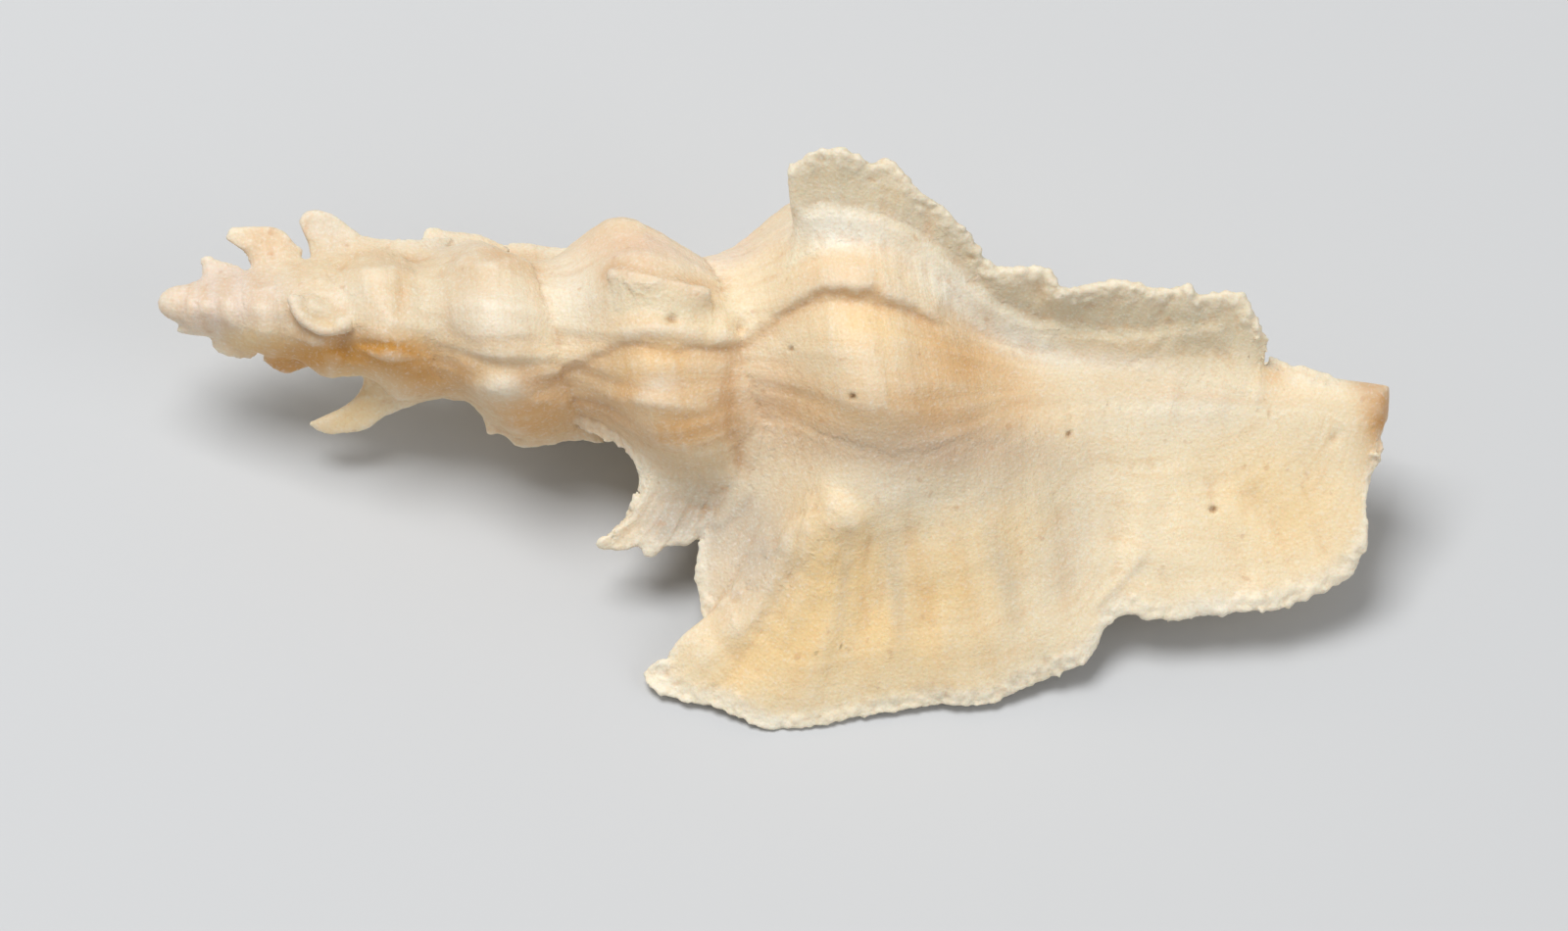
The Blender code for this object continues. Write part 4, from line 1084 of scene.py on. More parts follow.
class Skin:
    """The shell's surface with each vertex's place in the growth: on the coil or on a wing."""

    def __init__(self, data, sheets):
        self.data = data
        self.points = coordinates(data)
        self.normals = coordinates(data, "normal")
        x, y, z = self.points.T
        self.angle = np.degrees(np.arctan2(y, z))
        self.radius = np.hypot(y, z)
        self.share, self.round = coil_place(x, self.angle)
        places = np.vstack([coordinates(sheet.data) for sheet in sheets])
        tree = KDTree(len(places))
        for i, place in enumerate(places.tolist()):
            tree.insert(place, i)
        tree.balance()
        found = [tree.find(place) for place in self.points.tolist()]
        index = np.array([hit[1] for hit in found])
        gap = np.array([hit[2] for hit in found])
        self.sheet = np.repeat(np.arange(len(sheets)), [len(s.data.vertices) for s in sheets])[index]
        self.rim, self.travel, self.crust = (
            np.concatenate([kept_values(sheet.data, label) for sheet in sheets])[index]
            for label in ("rim", "travel", "crust"))
        self.on_sheet = 1.0 - step(gap, 0.15, 0.5)
        self.crust = self.crust * self.on_sheet
        mouth = np.hypot((x - MOUTH_X) / (MOUTH_HALF_LENGTH + MOUTH_MARGIN),
                         (self.radius - MOUTH_RADIUS) / (MOUTH_HALF_WIDTH + MOUTH_MARGIN))
        near = (self.angle > MOUTH_FRONT_ANGLE) & (self.angle < MOUTH_BACK_ANGLE) & (mouth < 1.1)
        self.in_mouth = np.where(near, 1.0 - step(mouth, 0.9, 1.1), 0.0)
        body = Body(needed("coiled_body").data)
        for i in np.nonzero(near & (self.angle > RIM_START_ANGLE))[0].tolist():
            cover = body.foot(x[i], self.angle[i], 0.0)
            self.in_mouth[i] *= math.hypot(cover.y, cover.z) > self.radius[i] + 0.45

    def ellipse(self, x, y, half_length, half_width, turn):
        """Strength of an oval spot seen from above, on the upper side."""
        turn = math.radians(turn)
        dx = self.points[:, 0] - x
        dy = self.points[:, 1] - y
        u = (dx * math.cos(turn) + dy * math.sin(turn)) / half_length
        v = (dy * math.cos(turn) - dx * math.sin(turn)) / half_width
        return np.exp(-(u * u + v * v)) * step(self.normals[:, 2], -0.1, 0.3)

    def raise_relief(self):
        """Moves the surface by its growth lines, threads, crust, lumps and pits."""
        relief = bpy.context.scene.shell_relief
        x = self.points[:, 0]
        body = 1.0 - self.on_sheet
        zero = np.zeros_like(x)
        lines_on_coil = grain(np.stack([self.round / COIL_LINE_SIZE, self.share * COIL_LINES_ACROSS, zero],
                                       axis=-1), 1.0, 1)
        whorl = np.maximum(0.15, WHORL_HEIGHT * x)
        threads_on_coil = np.cos(2.0 * np.pi * self.share * whorl / CORD_SPACING) * step(x, *CORD_FADE)
        apart = self.sheet * SHEET_OFFSET
        lines_on_wing = grain(np.stack([self.rim / WING_LINE_SIZE, self.travel / WING_LINE_LENGTH, apart],
                                       axis=-1), 1.0, 2)
        fringed = self.sheet == SHEET_NAMES.index("labral_2")
        rib_width = np.where(fringed, FRINGE_RIB_WIDTH, RIB_WIDTH)
        rib_strength = np.where(fringed, FRINGE_RIB_STRENGTH, 1.0)
        ribs_on_wing = grain(np.stack([self.travel / rib_width, self.rim / WING_LINE_LENGTH, apart], axis=-1),
                             1.0, 3)
        early = step(x, *EARLY_FADE) * 0.7 + 0.3
        coiled = body * (early * (1.0 - 0.85 * step(x, *CANAL_FADE)))
        shift = coiled * relief.growth_lines / MM * lines_on_coil * COIL_LINE_STRENGTH
        shift += coiled * relief.threads / MM * threads_on_coil * (0.2 + 0.3 * lines_on_coil)
        shift += self.on_sheet * (relief.growth_lines / MM * lines_on_wing * WING_LINE_STRENGTH
                                  + relief.threads / MM * ribs_on_wing * rib_strength)
        rough = grain(self.points, FINE_ROUGHNESS, 4) + 0.7 * grain(self.points, COARSE_ROUGHNESS, 5)
        shift += relief.crust / MM * rough * (self.crust + BARE_CRUST)
        shift += BROAD_LUMP_HEIGHT * grain(self.points, BROAD_LUMP_SIZE, 6) * early
        for *oval, height in BODY_LUMPS:
            shift += height * self.ellipse(*oval)
        upper = step(self.normals[:, 2], 0.0, 0.4)
        seen = np.nonzero(upper > 0.0)[0]
        for line, height, spread, fade, _, _ in LEDGES:
            shift[seen] += ledge(self.points[seen], line, height, spread, fade) * upper[seen]
        shift *= 1.0 - self.in_mouth
        self.points = self.points + self.normals * shift[:, None]
        set_coordinates(self.data, self.points)


class SHELL_OT_coil(bpy.types.Operator):
    """Winds the coiled body and the canal by the rule of the shell's growth"""
    bl_idname = "shell.coil"
    bl_label = "Coiled body"

    def execute(self, context):
        shape = context.scene.shell_shape
        put_away("coiled_body")
        source = new_object("coil_source", bpy.data.meshes.new("coil_source"))
        sizes = {name: getattr(shape, name.lower().replace(" ", "_")) for name in COIL_SIZES}
        made = tree_result("coiled_body", source, coil_tree(), {
            **sizes, "Rows": COIL_ROWS, "Columns": COIL_COLUMNS, "Material": shell_finish()})
        outward(made.data)
        return {"FINISHED"}


class SHELL_OT_wings(bpy.types.Operator):
    """Grows the three wings of the last whorl and the canal"""
    bl_idname = "shell.wings"
    bl_label = "Wings"

    def execute(self, context):
        shape = context.scene.shell_shape
        for name, angles, rows in LAST_WINGS:
            put_away(name)
            sheet_solid(name, angles, rows, WING_SPACING, shape.wing_foot / MM, shape.wing_edge / MM, 1.0)
        return {"FINISHED"}


class SHELL_OT_flanges(bpy.types.Operator):
    """Grows the flanges and hooks that are left of the older varices"""
    bl_idname = "shell.flanges"
    bl_label = "Older flanges"

    def execute(self, context):
        for name, angle, foot_thickness, edge_thickness, rows in OLDER_FLANGES:
            put_away(name)
            sheet_solid(name, ((0.0, angle), (70.0, angle)), rows, FLANGE_SPACING, foot_thickness,
                        edge_thickness, FLANGE_CRUST.get(name, PLAIN_CRUST))
        return {"FINISHED"}


class SHELL_OT_aperture(bpy.types.Operator):
    """Makes the rim of the aperture, the teeth in its lip, and the cutters for it and for the canal"""
    bl_idname = "shell.aperture"
    bl_label = "Aperture and canal"

    def execute(self, context):
        shape = context.scene.shell_shape
        for name in ("mouth_passage", "mouth_rim", "canal_channel", "lip_teeth"):
            put_away(name)
        mouth_passage()
        mouth_rim()
        canal_channel()
        if shape.lip_teeth:
            ring = mouth_ring(LIP_TEETH_ANGLE, -LIP_TEETH_INSET, 1.0)[LIP_TEETH_SIDES]
            curve = bpy.data.curves.new("lip_line", "CURVE")
            curve.dimensions = "3D"
            spline = curve.splines.new("POLY")
            spline.points.add(len(ring) - 1)
            for point, place in zip(spline.points, ring):
                point.co = (*place, 1.0)
            tree_result("lip_teeth", new_object("lip_line", curve), lumps_tree("lip_teeth", "line"), {
                "Count": shape.lip_teeth, "Size": LIP_TOOTH_SIZE, "Size variation": 0.25,
                "Seed": 3, "Material": shell_finish()})
        return {"FINISHED"}


class SHELL_OT_skin(bpy.types.Operator):
    """Joins the body, wings and flanges as one skin and gives it its relief"""
    bl_idname = "shell.skin"
    bl_label = "Skin and relief"

    def execute(self, context):
        relief = context.scene.shell_relief
        sheets = [needed(name) for name in SHEET_NAMES]
        copies = [baked(sheet.name + "_copy", sheet) for sheet in sheets]
        grains = []
        tree = lumps_tree("crust_grains", "faces")
        size = relief.grain_size / MM
        for number, sheet in enumerate(sheets[:len(LAST_WINGS)]):
            source = baked(sheet.name + "_source", sheet)
            grains.append(tree_result(sheet.name + "_grains", source, tree, {
                "Density": GRAIN_DENSITY, "Size": (size, size, GRAIN_FLATNESS * size),
                "Size variation": GRAIN_VARIATION,
                "Seed": relief.seed + number, "Material": shell_finish()}))
        put_away("shell_skin")
        skin = merged("shell_skin", [baked("body_copy", needed("coiled_body")), needed("mouth_rim"), *copies])
        remesh(skin, FIRST_SKIN)
        blend_wings(skin.data)
        cut(skin, needed("mouth_passage"))
        cut(skin, needed("canal_channel"))
        teeth = [bpy.data.objects["lip_teeth"]] if "lip_teeth" in bpy.data.objects else []
        skin = merged("shell_skin", [skin, *teeth, *grains])
        remesh(skin, relief.mesh_size / MM)
        keep_largest(skin.data)
        Skin(skin.data, sheets).raise_relief()
        thin = skin.modifiers.new("Thin", "DECIMATE")
        faces = sum(len(face.vertices) - 2 for face in skin.data.polygons)
        thin.ratio = min(1.0, relief.triangles / faces)
        thin.use_collapse_triangulate = True
        apply_modifiers(skin)
        keep_largest(skin.data)
        return {"FINISHED"}


# Coloured places on the upper side, by colour in the order in which they are laid over each other:
# centre (x, y), half length, half width, turn in degrees and strength.
COLOUR_SPOTS = {
    "pink": (
        (35, -2.9, 1.7, 2.2, 5, 0.5), (26.8, 5.6, 3.9, 1.1, 5, 0.7), (31.8, 5.7, 2.2, 1.1, 25, 0.7),
        (4, 0.8, 3.6, 2.4, -5, 0.95), (2.6, -0.2, 2.6, 1.6, 5, 0.7), (34.5, -12.7, 2.2, 3.3, -5, 0.35)),
    "tan": (
        (45.2, 1, 4, 2.4, -20, 0.7), (36.4, -2.4, 2.2, 2.4, 25, 0.35), (38.6, -3.2, 4.7, 1.9, 5, 0.4),
        (43.6, -2.8, 5.3, 2.2, -5, 0.55), (49.2, -1.6, 3.4, 2, -5, 0.2), (27.7, -1.9, 4.7, 2.2, 8, 0.8),
        (30.4, -4.7, 3.3, 1.2, 15, 0.8), (30.6, 3.1, 1.4, 0.7, -25, 0.4), (19.6, 4.1, 1.9, 1, -15, 0.45),
        (15.2, 4, 1.6, 0.9, 35, 0.35), (18.6, -1.9, 2.5, 1, -5, 0.5), (22.6, -4.5, 3.9, 1.4, -3, 0.8),
        (21.9, -5.4, 2.8, 1.1, 5, 0.6), (9.4, 0, 1.9, 1.1, -15, 0.45), (11, 2.6, 2.6, 1.8, 0, 0.35),
        (13.9, 1.6, 0.5, 1.8, 0, 0.5), (11.3, 3.9, 2.2, 0.5, -10, 0.5), (18.9, 4.5, 2.4, 0.5, -10, 0.5),
        (21.4, 2.6, 0.5, 1.8, 15, 0.4), (16, -2.6, 3, 1, -5, 0.5), (15.3, -3.8, 2.5, 0.7, -5, 0.6),
        (6, 4.2, 2, 1.5, 0, 0.5), (30.9, -10, 2.6, 1.6, 5, 0.25), (63.3, 1.3, 0.9, 0.7, 5, 0.6),
        (44.5, -12.4, 0.6, 3.6, 17, 0.5), (47, -12.2, 0.5, 3.6, 21, 0.45), (41.3, -13.8, 0.5, 3.6, 8, 0.5),
        (38.4, -15.6, 0.5, 3.4, -12, 0.55), (35.6, -16.6, 0.45, 2.6, -35, 0.4), (52.5, -11.7, 0.4, 2.2, 5, 0.2)),
    "yellow": (
        (39.9, 2, 2.5, 1.2, 0, 0.5), (28.2, -1, 2.2, 0.9, 10, 0.5), (11.5, 2.8, 2.5, 1.4, -5, 0.55),
        (9.9, -0.4, 0.8, 0.3, -15, 0.9), (6, -1.8, 1.9, 0.8, 0, 0.95), (14.5, -1.1, 1.7, 0.7, -5, 0.5),
        (11, -5, 2.4, 1.9, 45, 0.7), (36.4, -15.6, 5.4, 2.8, 45, 0.75), (38.7, -11.4, 2.6, 4.2, 10, 0.7),
        (41.2, -15, 4.2, 3.6, 5, 0.65), (46.2, -13, 3.4, 4.2, 5, 0.55), (64, -6, 4.6, 3.4, -15, 0.5),
        (49.2, -8.6, 2.2, 2.8, 5, 0.3)),
    "grey": (
        # The first grey spot is painted shade in the valley between the dome and the labral wing.
        (43.5, -4.8, 7.5, 1.4, 2, 0.55), (3.6, 0.9, 3.4, 2.2, -5, 0.2), (9.2, 5, 2.2, 1.3, 0, 0.35),
        (13, 2, 10.5, 5, 0, 0.32), (34.9, -11, 3.1, 4.4, -5, 0.6), (52.6, -9.4, 1.9, 3.9, -20, 0.35),
        (47.9, -6.5, 3.3, 1.4, 5, 0.3), (47.1, -3.8, 4.4, 1, 5, 0.3), (30.6, -9.6, 3, 2.2, 5, 0.95),
        (43, -12.6, 0.5, 3, 12, 0.35), (48.8, -10.8, 0.6, 2.8, 20, 0.3), (40, -12.6, 0.45, 3, 0, 0.3)),
    "olive": (
        (28.7, 2.4, 3.1, 1.1, -3, 0.4), (9.2, 0, 1.7, 0.9, -15, 0.6), (37.5, 10.3, 3.3, 1.9, 0, 0.8),
        (45, 7.7, 3.3, 1.7, -33, 0.8), (52.5, 4.2, 3.9, 1.6, 0, 0.8), (58.7, 3.9, 2.8, 1.7, -5, 0.7)),
    "white": (
        (28.8, -2.2, 1.2, 0.7, 5, 0.45), (23.7, 2.5, 1.7, 2.5, 15, 0.5), (19.4, 1, 2.5, 1.6, 10, 0.55),
        (20.2, -3.1, 1.2, 0.7, 0, 0.5), (11, 1.4, 1.7, 1.1, 5, 0.4), (9.6, 4.6, 2.5, 1, -25, 0.2),
        (15.4, 5, 3.3, 0.8, 0, 0.4), (38.3, 7.3, 3.1, 1.2, -3, 1), (44.1, 4.9, 3.1, 1.2, -33, 0.9),
        (48.8, 2.2, 3.3, 0.9, -20, 0.8), (54.4, 1.3, 3.9, 0.6, 0, 0.5), (58, -1, 4.5, 1.6, 5, 0.4),
        (27.9, -7.7, 1.7, 1.4, -35, 0.5), (41.8, -7, 3.3, 1.1, -5, 0.35)),
    "ochre": (
        (17.9, -2.5, 0.9, 0.8, 5, 0.55), (13.2, -1.8, 3, 1, 1, 1), (10.2, -2.2, 2.5, 0.8, -3, 0.8),
        (15.5, -2.9, 2.8, 0.7, -12, 0.55), (7.7, -3, 2.2, 1, -3, 0.95), (69.7, -0.6, 1.2, 2.6, 5, 0.9)),
    "brown": (
        # The first brown spot is painted shade in the same valley between the dome and the labral wing.
        (42.5, -4.9, 7.2, 1.2, 2, 0.22), (45.6, -2.8, 3.3, 1.7, -15, 0.22), (25.3, -3.7, 1.9, 0.8, -20, 0.35),
        (32.4, -2.6, 0.7, 2.2, 5, 0.3), (21.7, -2.7, 1.2, 0.8, 0, 0.35), (7.9, 4.8, 0.2, 0.8, -5, 0.4),
        (70, -0.9, 0.8, 1.8, 5, 0.45), (68.6, 1.2, 1.1, 0.7, -15, 0.5)),
    "dark": (
        (39.6, -2, 0.17, 0.17, 0, 0.9), (36, 0.4, 0.17, 0.15, 0, 0.6), (60.5, -6.5, 0.17, 0.17, 0, 0.9),
        (29.2, 1.45, 0.2, 0.16, 0, 0.5), (52, -3, 0.12, 0.2, 30, 0.5))}


def store_colour_places(skin):
    """Keeps each vertex's share of each colour, painted ledge shadows among them, its crust, the depth of its
    hollow for the painted shade and highlight, and its growth place on the mesh.
    """
    shares = {name: np.zeros(len(skin.points)) for name in COLOUR_SPOTS}
    for name, spots in COLOUR_SPOTS.items():
        for *oval, strength in spots:
            spot = np.clip(strength * skin.ellipse(*oval), 0.0, 1.0)
            shares[name] = 1.0 - (1.0 - shares[name]) * (1.0 - spot)
    body = 1.0 - skin.on_sheet
    valley = np.cos(np.radians(skin.share * 360.0)) * 0.5 + 0.5
    shares["tan"] = np.maximum(shares["tan"], 0.35 * body * (1.0 - valley))
    upper = step(skin.normals[:, 2], 0.0, 0.4)
    # Painted shadow along each ledge, laid into the colour that LEDGES gives it.
    for line, height, spread, _, name, strength in LEDGES:
        gap, inside = line_gap(skin.points, line)
        gap = gap + 0.12 * grain(skin.points, 0.7, 12) + math.copysign(0.7 * spread, height)
        shadow = np.exp(-(gap / (0.25 + spread)) ** 2) * upper * inside
        shares[name] = 1.0 - (1.0 - shares[name]) * (1.0 - strength * shadow)
    for name, share in shares.items():
        keep_values(skin.data, name, np.clip(share, 0.0, 1.0))
    dorsal = skin.sheet == SHEET_NAMES.index("dorsal")
    keep_values(skin.data, "crust", skin.crust * np.where(dorsal, DORSAL_CRUST, 1.0))
    keep_values(skin.data, "mouth", skin.in_mouth)
    # How deep each vertex lies in a hollow; the finish paints shade into hollows and a highlight onto ridges
    # from it.
    hollow = hollowness(skin.data, skin.points, HOLLOW_ROUNDS)
    keep_values(skin.data, "hollow", np.clip(hollow / HOLLOW_DEPTH, -1.0, 1.0))
    whorl = np.maximum(0.2, WHORL_HEIGHT * skin.points[:, 0])
    across = np.where(skin.on_sheet > 0.5, skin.travel, skin.share * whorl)
    along = np.where(skin.on_sheet > 0.5, skin.rim, skin.round)
    track = np.stack([along, across, skin.sheet * 5.0 * (skin.on_sheet > 0.5)], axis=-1)
    ends = edge_ends(skin.data)
    jump = np.linalg.norm(track[ends[:, 0]] - track[ends[:, 1]], axis=1)
    length = np.linalg.norm(skin.points[ends[:, 0]] - skin.points[ends[:, 1]], axis=1)
    torn = ends[jump > 3.0 * length + 0.3].ravel()
    whole = np.ones(len(track))
    whole[torn] = 0.0
    whole *= 1.0 - 0.8 * body * step(skin.points[:, 0], *CANAL_PAINT_FADE)
    keep_values(skin.data, "whole", whole)
    layer = skin.data.attributes.get("track") or skin.data.attributes.new("track", "FLOAT_VECTOR", "POINT")
    layer.data.foreach_set("vector", track.astype(np.float32).ravel())


class Paint:
    """Helps to lay out the nodes of a material."""

    def __init__(self, material):
        self.nodes = material.node_tree.nodes
        self.links = material.node_tree.links

    def place(self, name):
        """Number that the mesh keeps for each vertex."""
        node = self.nodes.new("ShaderNodeAttribute")
        node.attribute_name = name
        return node

    def mottle(self, scale, vector=None, detail=3.0, stretch=None):
        """Cloudy pattern from 0 to 1."""
        node = self.nodes.new("ShaderNodeTexNoise")
        node.inputs["Scale"].default_value = scale
        node.inputs["Detail"].default_value = detail
        if vector is None:
            vector = self.nodes.new("ShaderNodeTexCoord").outputs["Object"]
        if stretch is not None:
            mapping = self.nodes.new("ShaderNodeMapping")
            mapping.inputs["Scale"].default_value = stretch
            self.links.new(vector, mapping.inputs["Vector"])
            vector = mapping.outputs["Vector"]
        self.links.new(vector, node.inputs["Vector"])
        return node.outputs["Fac"]

    def granules(self, scale):
        """Pattern of small rounded grains, from 0 at their middles."""
        node = self.nodes.new("ShaderNodeTexVoronoi")
        node.feature = "F1"
        node.inputs["Scale"].default_value = scale
        self.links.new(self.nodes.new("ShaderNodeTexCoord").outputs["Object"], node.inputs["Vector"])
        return node.outputs["Distance"]

    def ranged(self, value, low, high, new_low=0.0, new_high=1.0):
        """Value from one range set over another and held there."""
        node = self.nodes.new("ShaderNodeMapRange")
        self.links.new(value, node.inputs["Value"])
        for name, number in (("From Min", low), ("From Max", high), ("To Min", new_low), ("To Max", new_high)):
            node.inputs[name].default_value = number
        return node.outputs["Result"]

    def times(self, first, second):
        """Product of two values."""
        node = self.nodes.new("ShaderNodeMath")
        node.operation = "MULTIPLY"
        for socket, value in zip(node.inputs, (first, second)):
            if isinstance(value, float):
                socket.default_value = value
            else:
                self.links.new(value, socket)
        return node.outputs[0]

    def over(self, below, colour, amount, mode="MIX"):
        """A colour laid over another by an amount."""
        node = self.nodes.new("ShaderNodeMix")
        node.data_type = "RGBA"
        node.blend_type = mode
        node.clamp_factor = True
        if isinstance(below, tuple):
            node.inputs[6].default_value = (*below, 1.0)
        else:
            self.links.new(below, node.inputs[6])
        node.inputs[7].default_value = (*colour, 1.0)
        self.links.new(amount, node.inputs[0])
        return node.outputs[2]

    def bumped(self, height, distance, strength, below=None):
        """Fine relief added by a height pattern."""
        node = self.nodes.new("ShaderNodeBump")
        node.inputs["Distance"].default_value = distance
        node.inputs["Strength"].default_value = strength
        self.links.new(height, node.inputs["Height"])
        if below is not None:
            self.links.new(below, node.inputs["Normal"])
        return node.outputs["Normal"]


PALE_FLECK = (0.93, 0.91, 0.86)


def shell_finish():
    """Chalky, mottled finish of the shell, with painted shade in its hollows, in the valley under the dome and
    along its ledges, and a painted highlight on its ridges.
    """
    material = bpy.data.materials.get("murex_shell")
    if material is not None:
        return material
    colours = bpy.context.scene.shell_colours
    material = bpy.data.materials.new("murex_shell")
    material.use_nodes = True
    paint = Paint(material)
    shader = material.node_tree.nodes["Principled BSDF"]

    def tint(below, name, amount):
        return paint.over(below, tuple(getattr(colours, name)), amount)

    track = paint.place("track").outputs["Vector"]
    broad = paint.ranged(paint.mottle(260.0), 0.3, 0.7, 0.8, 1.4)
    whole = paint.place("whole").outputs["Fac"]
    streaks = paint.times(whole, paint.mottle(1.0, track, 3.0, (2.2, 0.25, 1.0)))
    cords = paint.times(whole, paint.mottle(1.0, track, 2.0, (0.25, 3.6, 1.0)))
    fine = paint.mottle(5200.0, None, 2.0)
    granules = paint.granules(5200.0)
    specks = paint.mottle(1300.0, None, 2.0)

    colour = tint(tuple(colours.cream), "tan", paint.ranged(streaks, 0.5, 0.75, 0.0, 0.30))
    # Spot colours, with the painted ledge shadows and the painted valley shade among them.
    for name in COLOUR_SPOTS:
        amount = paint.times(paint.place(name).outputs["Fac"], broad)
        colour = tint(colour, name, amount)
    crust = paint.times(paint.place("crust").outputs["Fac"], paint.ranged(broad, 0.8, 1.4, 0.4, 0.8))
    colour = tint(colour, "white", crust)
    colour = tint(colour, "tan", paint.ranged(cords, 0.5, 0.8, 0.0, 0.14))
    colour = tint(colour, "mouth", paint.place("mouth").outputs["Fac"])
    # Painted shade: brown laid into the hollows. Painted highlight: white laid onto the ridges.
    hollow = paint.place("hollow").outputs["Fac"]
    colour = tint(colour, "brown", paint.ranged(hollow, 0.15, 1.0, 0.0, 0.45))
    colour = tint(colour, "white", paint.ranged(hollow, -0.25, -1.0, 0.0, 0.35))
    colour = paint.over(colour, PALE_FLECK, paint.ranged(fine, 0.53, 0.75, 0.0, 0.28))
    colour = tint(colour, "tan", paint.ranged(fine, 0.47, 0.28, 0.0, 0.22))
    colour = tint(colour, "brown", paint.ranged(specks, 0.68, 0.76, 0.0, 0.35))
    material.node_tree.links.new(colour, shader.inputs["Base Color"])

    weave = paint.bumped(cords, 0.00016, 0.22)
    weave = paint.bumped(streaks, 0.00014, 0.22, weave)
    weave = paint.bumped(fine, 0.00008, 0.3, weave)
    weave = paint.bumped(paint.ranged(granules, 0.0, 0.7, 1.0, 0.0), 0.00012, 0.14, weave)
    material.node_tree.links.new(weave, shader.inputs["Normal"])
    shader.inputs["Roughness"].default_value = 0.55
    shader.inputs["Subsurface Weight"].default_value = 0.08
    shader.inputs["Subsurface Scale"].default_value = 0.001
    return material


class SHELL_OT_finish(bpy.types.Operator):
    """Colours the skin, lays it down in the world and puts it in place of the plain solid"""
    bl_idname = "shell.finish"
    bl_label = "Colour and place"

    def execute(self, context):
        skin = needed("shell_skin")
        store_colour_places(Skin(skin.data, [needed(name) for name in SHEET_NAMES]))
        skin.data.materials.clear()
        skin.data.materials.append(shell_finish())
        skin.data.polygons.foreach_set("use_smooth", np.ones(len(skin.data.polygons), dtype=bool))
        laid = Matrix.Translation(Vector(FRAME_PLACE) * MM) @ Matrix.Rotation(math.radians(REST_ROLL), 4, "X")
        skin.data.transform(laid @ Matrix.Scale(MM, 4))
        places = coordinates(skin.data)
        height = places[:, 2]
        lowest = height.min()
        near_floor = FLOOR_SQUEEZE * MM
        squeezed = near_floor * (height - lowest) / (near_floor - lowest)
        places[:, 2] = np.where(height < near_floor, squeezed, height)
        set_coordinates(skin.data, places)
        for name in (*SHEET_NAMES, "coiled_body"):
            put_away(name)
        skin.name = skin.data.name = "shell"
        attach(skin, "root")
        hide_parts(NODE)
        return {"FINISHED"}


def studio_light(name, place, aim, size, power):
    """Soft square light that looks at a place."""
    lamp = bpy.data.lights.new(name, "AREA")
    lamp.energy = power
    lamp.size = size
    thing = new_object(name, lamp)
    thing.location = place
    thing.rotation_euler = (Vector(place) - aim).to_track_quat("Z", "Y").to_euler()


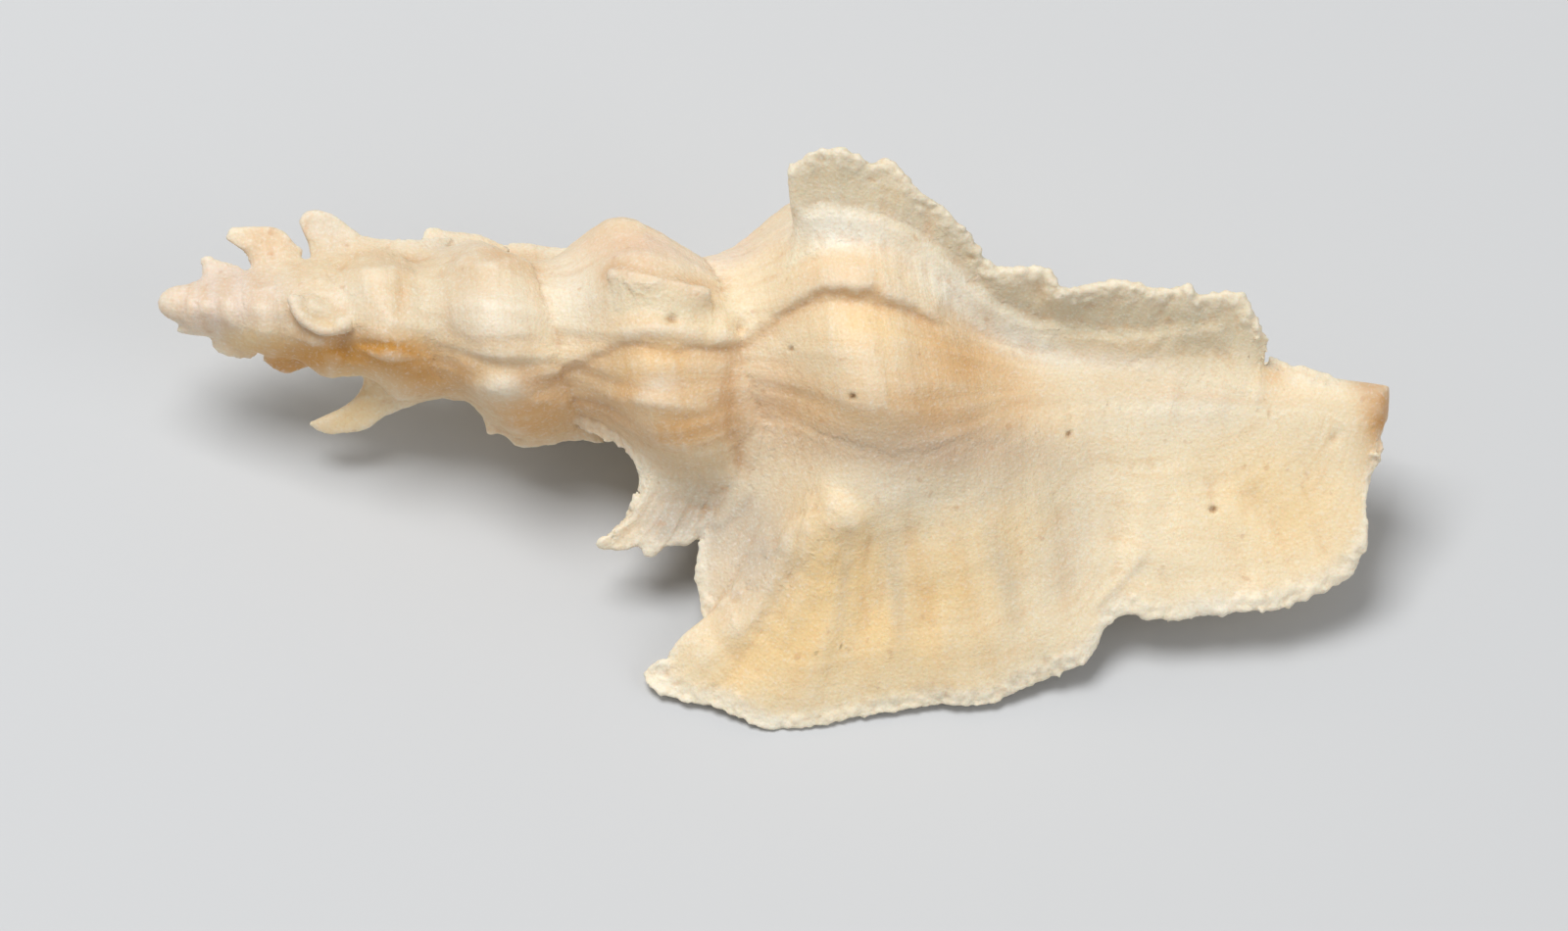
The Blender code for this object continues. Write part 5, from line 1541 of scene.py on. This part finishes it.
class SHELL_OT_studio(bpy.types.Operator):
    """Sets the floor, the soft lights and the camera"""
    bl_idname = "shell.studio"
    bl_label = "Studio"

    def execute(self, context):
        studio = context.scene.shell_studio
        floor_data = bpy.data.meshes.new("floor")
        corners = [(x * FLOOR_HALF, y * FLOOR_HALF, 0) for x, y in ((-1, -1), (1, -1), (1, 1), (-1, 1))]
        floor_data.from_pydata(corners, [], [(0, 1, 2, 3)])
        paper = bpy.data.materials.new("paper")
        paper.use_nodes = True
        paper_shader = paper.node_tree.nodes["Principled BSDF"]
        paper_shader.inputs["Base Color"].default_value = (*studio.floor_colour, 1.0)
        paper_shader.inputs["Roughness"].default_value = 0.9
        floor_data.materials.append(paper)
        new_object("floor", floor_data)

        world = bpy.data.worlds.new("studio")
        world.use_nodes = True
        background = world.node_tree.nodes["Background"]
        background.inputs["Color"].default_value = (1.0, 1.0, 1.0, 1.0)
        background.inputs["Strength"].default_value = studio.fill_strength
        context.scene.world = world

        laid = Matrix.Translation(Vector(FRAME_PLACE)) @ Matrix.Rotation(math.radians(REST_ROLL), 4, "X")
        aim = laid @ Vector(PICTURE_CENTRE) * MM
        towards = Vector((0.0, -math.sin(math.radians(REST_ROLL)), math.cos(math.radians(REST_ROLL))))
        right = Vector((1.0, 0.0, 0.0))
        turn = Matrix((right, towards.cross(right), towards)).transposed()
        turn = turn @ Matrix.Rotation(math.radians(PICTURE_TURN), 3, "Z")
        lens = bpy.data.cameras.new("camera")
        lens.sensor_width = SENSOR_WIDTH
        lens.lens = studio.lens
        lens.clip_start = 0.01
        lens.clip_end = 20.0
        camera = new_object("camera", lens)
        distance = studio.picture_width / SENSOR_WIDTH * studio.lens
        camera.matrix_world = Matrix.Translation(aim + towards * distance) @ turn.to_4x4()
        context.scene.camera = camera

        for name, place, size, share in LIGHTS:
            studio_light(name, aim + turn @ Vector(place), aim, size, share * studio.key_power)
        context.scene.view_settings.view_transform = "Standard"
        return {"FINISHED"}


# Middle of the picture in the growth frame, in mm, and the picture's turn in degrees.
PICTURE_CENTRE = (36.14, -6.14, 0.0)
PICTURE_TURN = 5.0
SENSOR_WIDTH = 36.0
FLOOR_HALF = 1.5

# Lights: name, place from the shell's middle as the camera sees it, side in metres, share of the key power.
LIGHTS = (("key", (-0.14, 0.38, 0.43), 0.30, 1.0), ("side", (0.45, -0.05, 0.40), 0.40, 0.25))

GROUPS = (("shell_shape", ShellShape), ("shell_relief", ShellRelief), ("shell_colours", ShellColours),
          ("shell_studio", ShellStudio))
STEPS = (SHELL_OT_coil, SHELL_OT_wings, SHELL_OT_flanges, SHELL_OT_aperture, SHELL_OT_skin, SHELL_OT_finish,
         SHELL_OT_studio)


class SHELL_PT_sidebar(bpy.types.Panel):
    """Sizes, colours and steps of the shell"""
    bl_idname = "SHELL_PT_sidebar"
    bl_label = "Club Murex Shell"
    bl_space_type = "VIEW_3D"
    bl_region_type = "UI"
    bl_category = "Shell"

    def draw(self, context):
        for name, group in GROUPS:
            box = self.layout.box()
            for field in group.__annotations__:
                box.prop(getattr(context.scene, name), field)
        for operator in STEPS:
            self.layout.operator(operator.bl_idname)


def register():
    for name, group in GROUPS:
        bpy.utils.register_class(group)
        setattr(bpy.types.Scene, name, PointerProperty(type=group))
    for kind in (*STEPS, SHELL_PT_sidebar):
        bpy.utils.register_class(kind)


def unregister():
    for kind in (SHELL_PT_sidebar, *reversed(STEPS)):
        bpy.utils.unregister_class(kind)
    for name, group in reversed(GROUPS):
        delattr(bpy.types.Scene, name)
        bpy.utils.unregister_class(group)


def main():
    register()
    bpy.ops.shell.coil()
    bpy.ops.shell.wings()
    bpy.ops.shell.flanges()
    bpy.ops.shell.aperture()
    bpy.ops.shell.skin()
    bpy.ops.shell.finish()
    bpy.ops.shell.studio()
    bpy.context.view_layer.update()


if __name__ == "__main__":
    main()
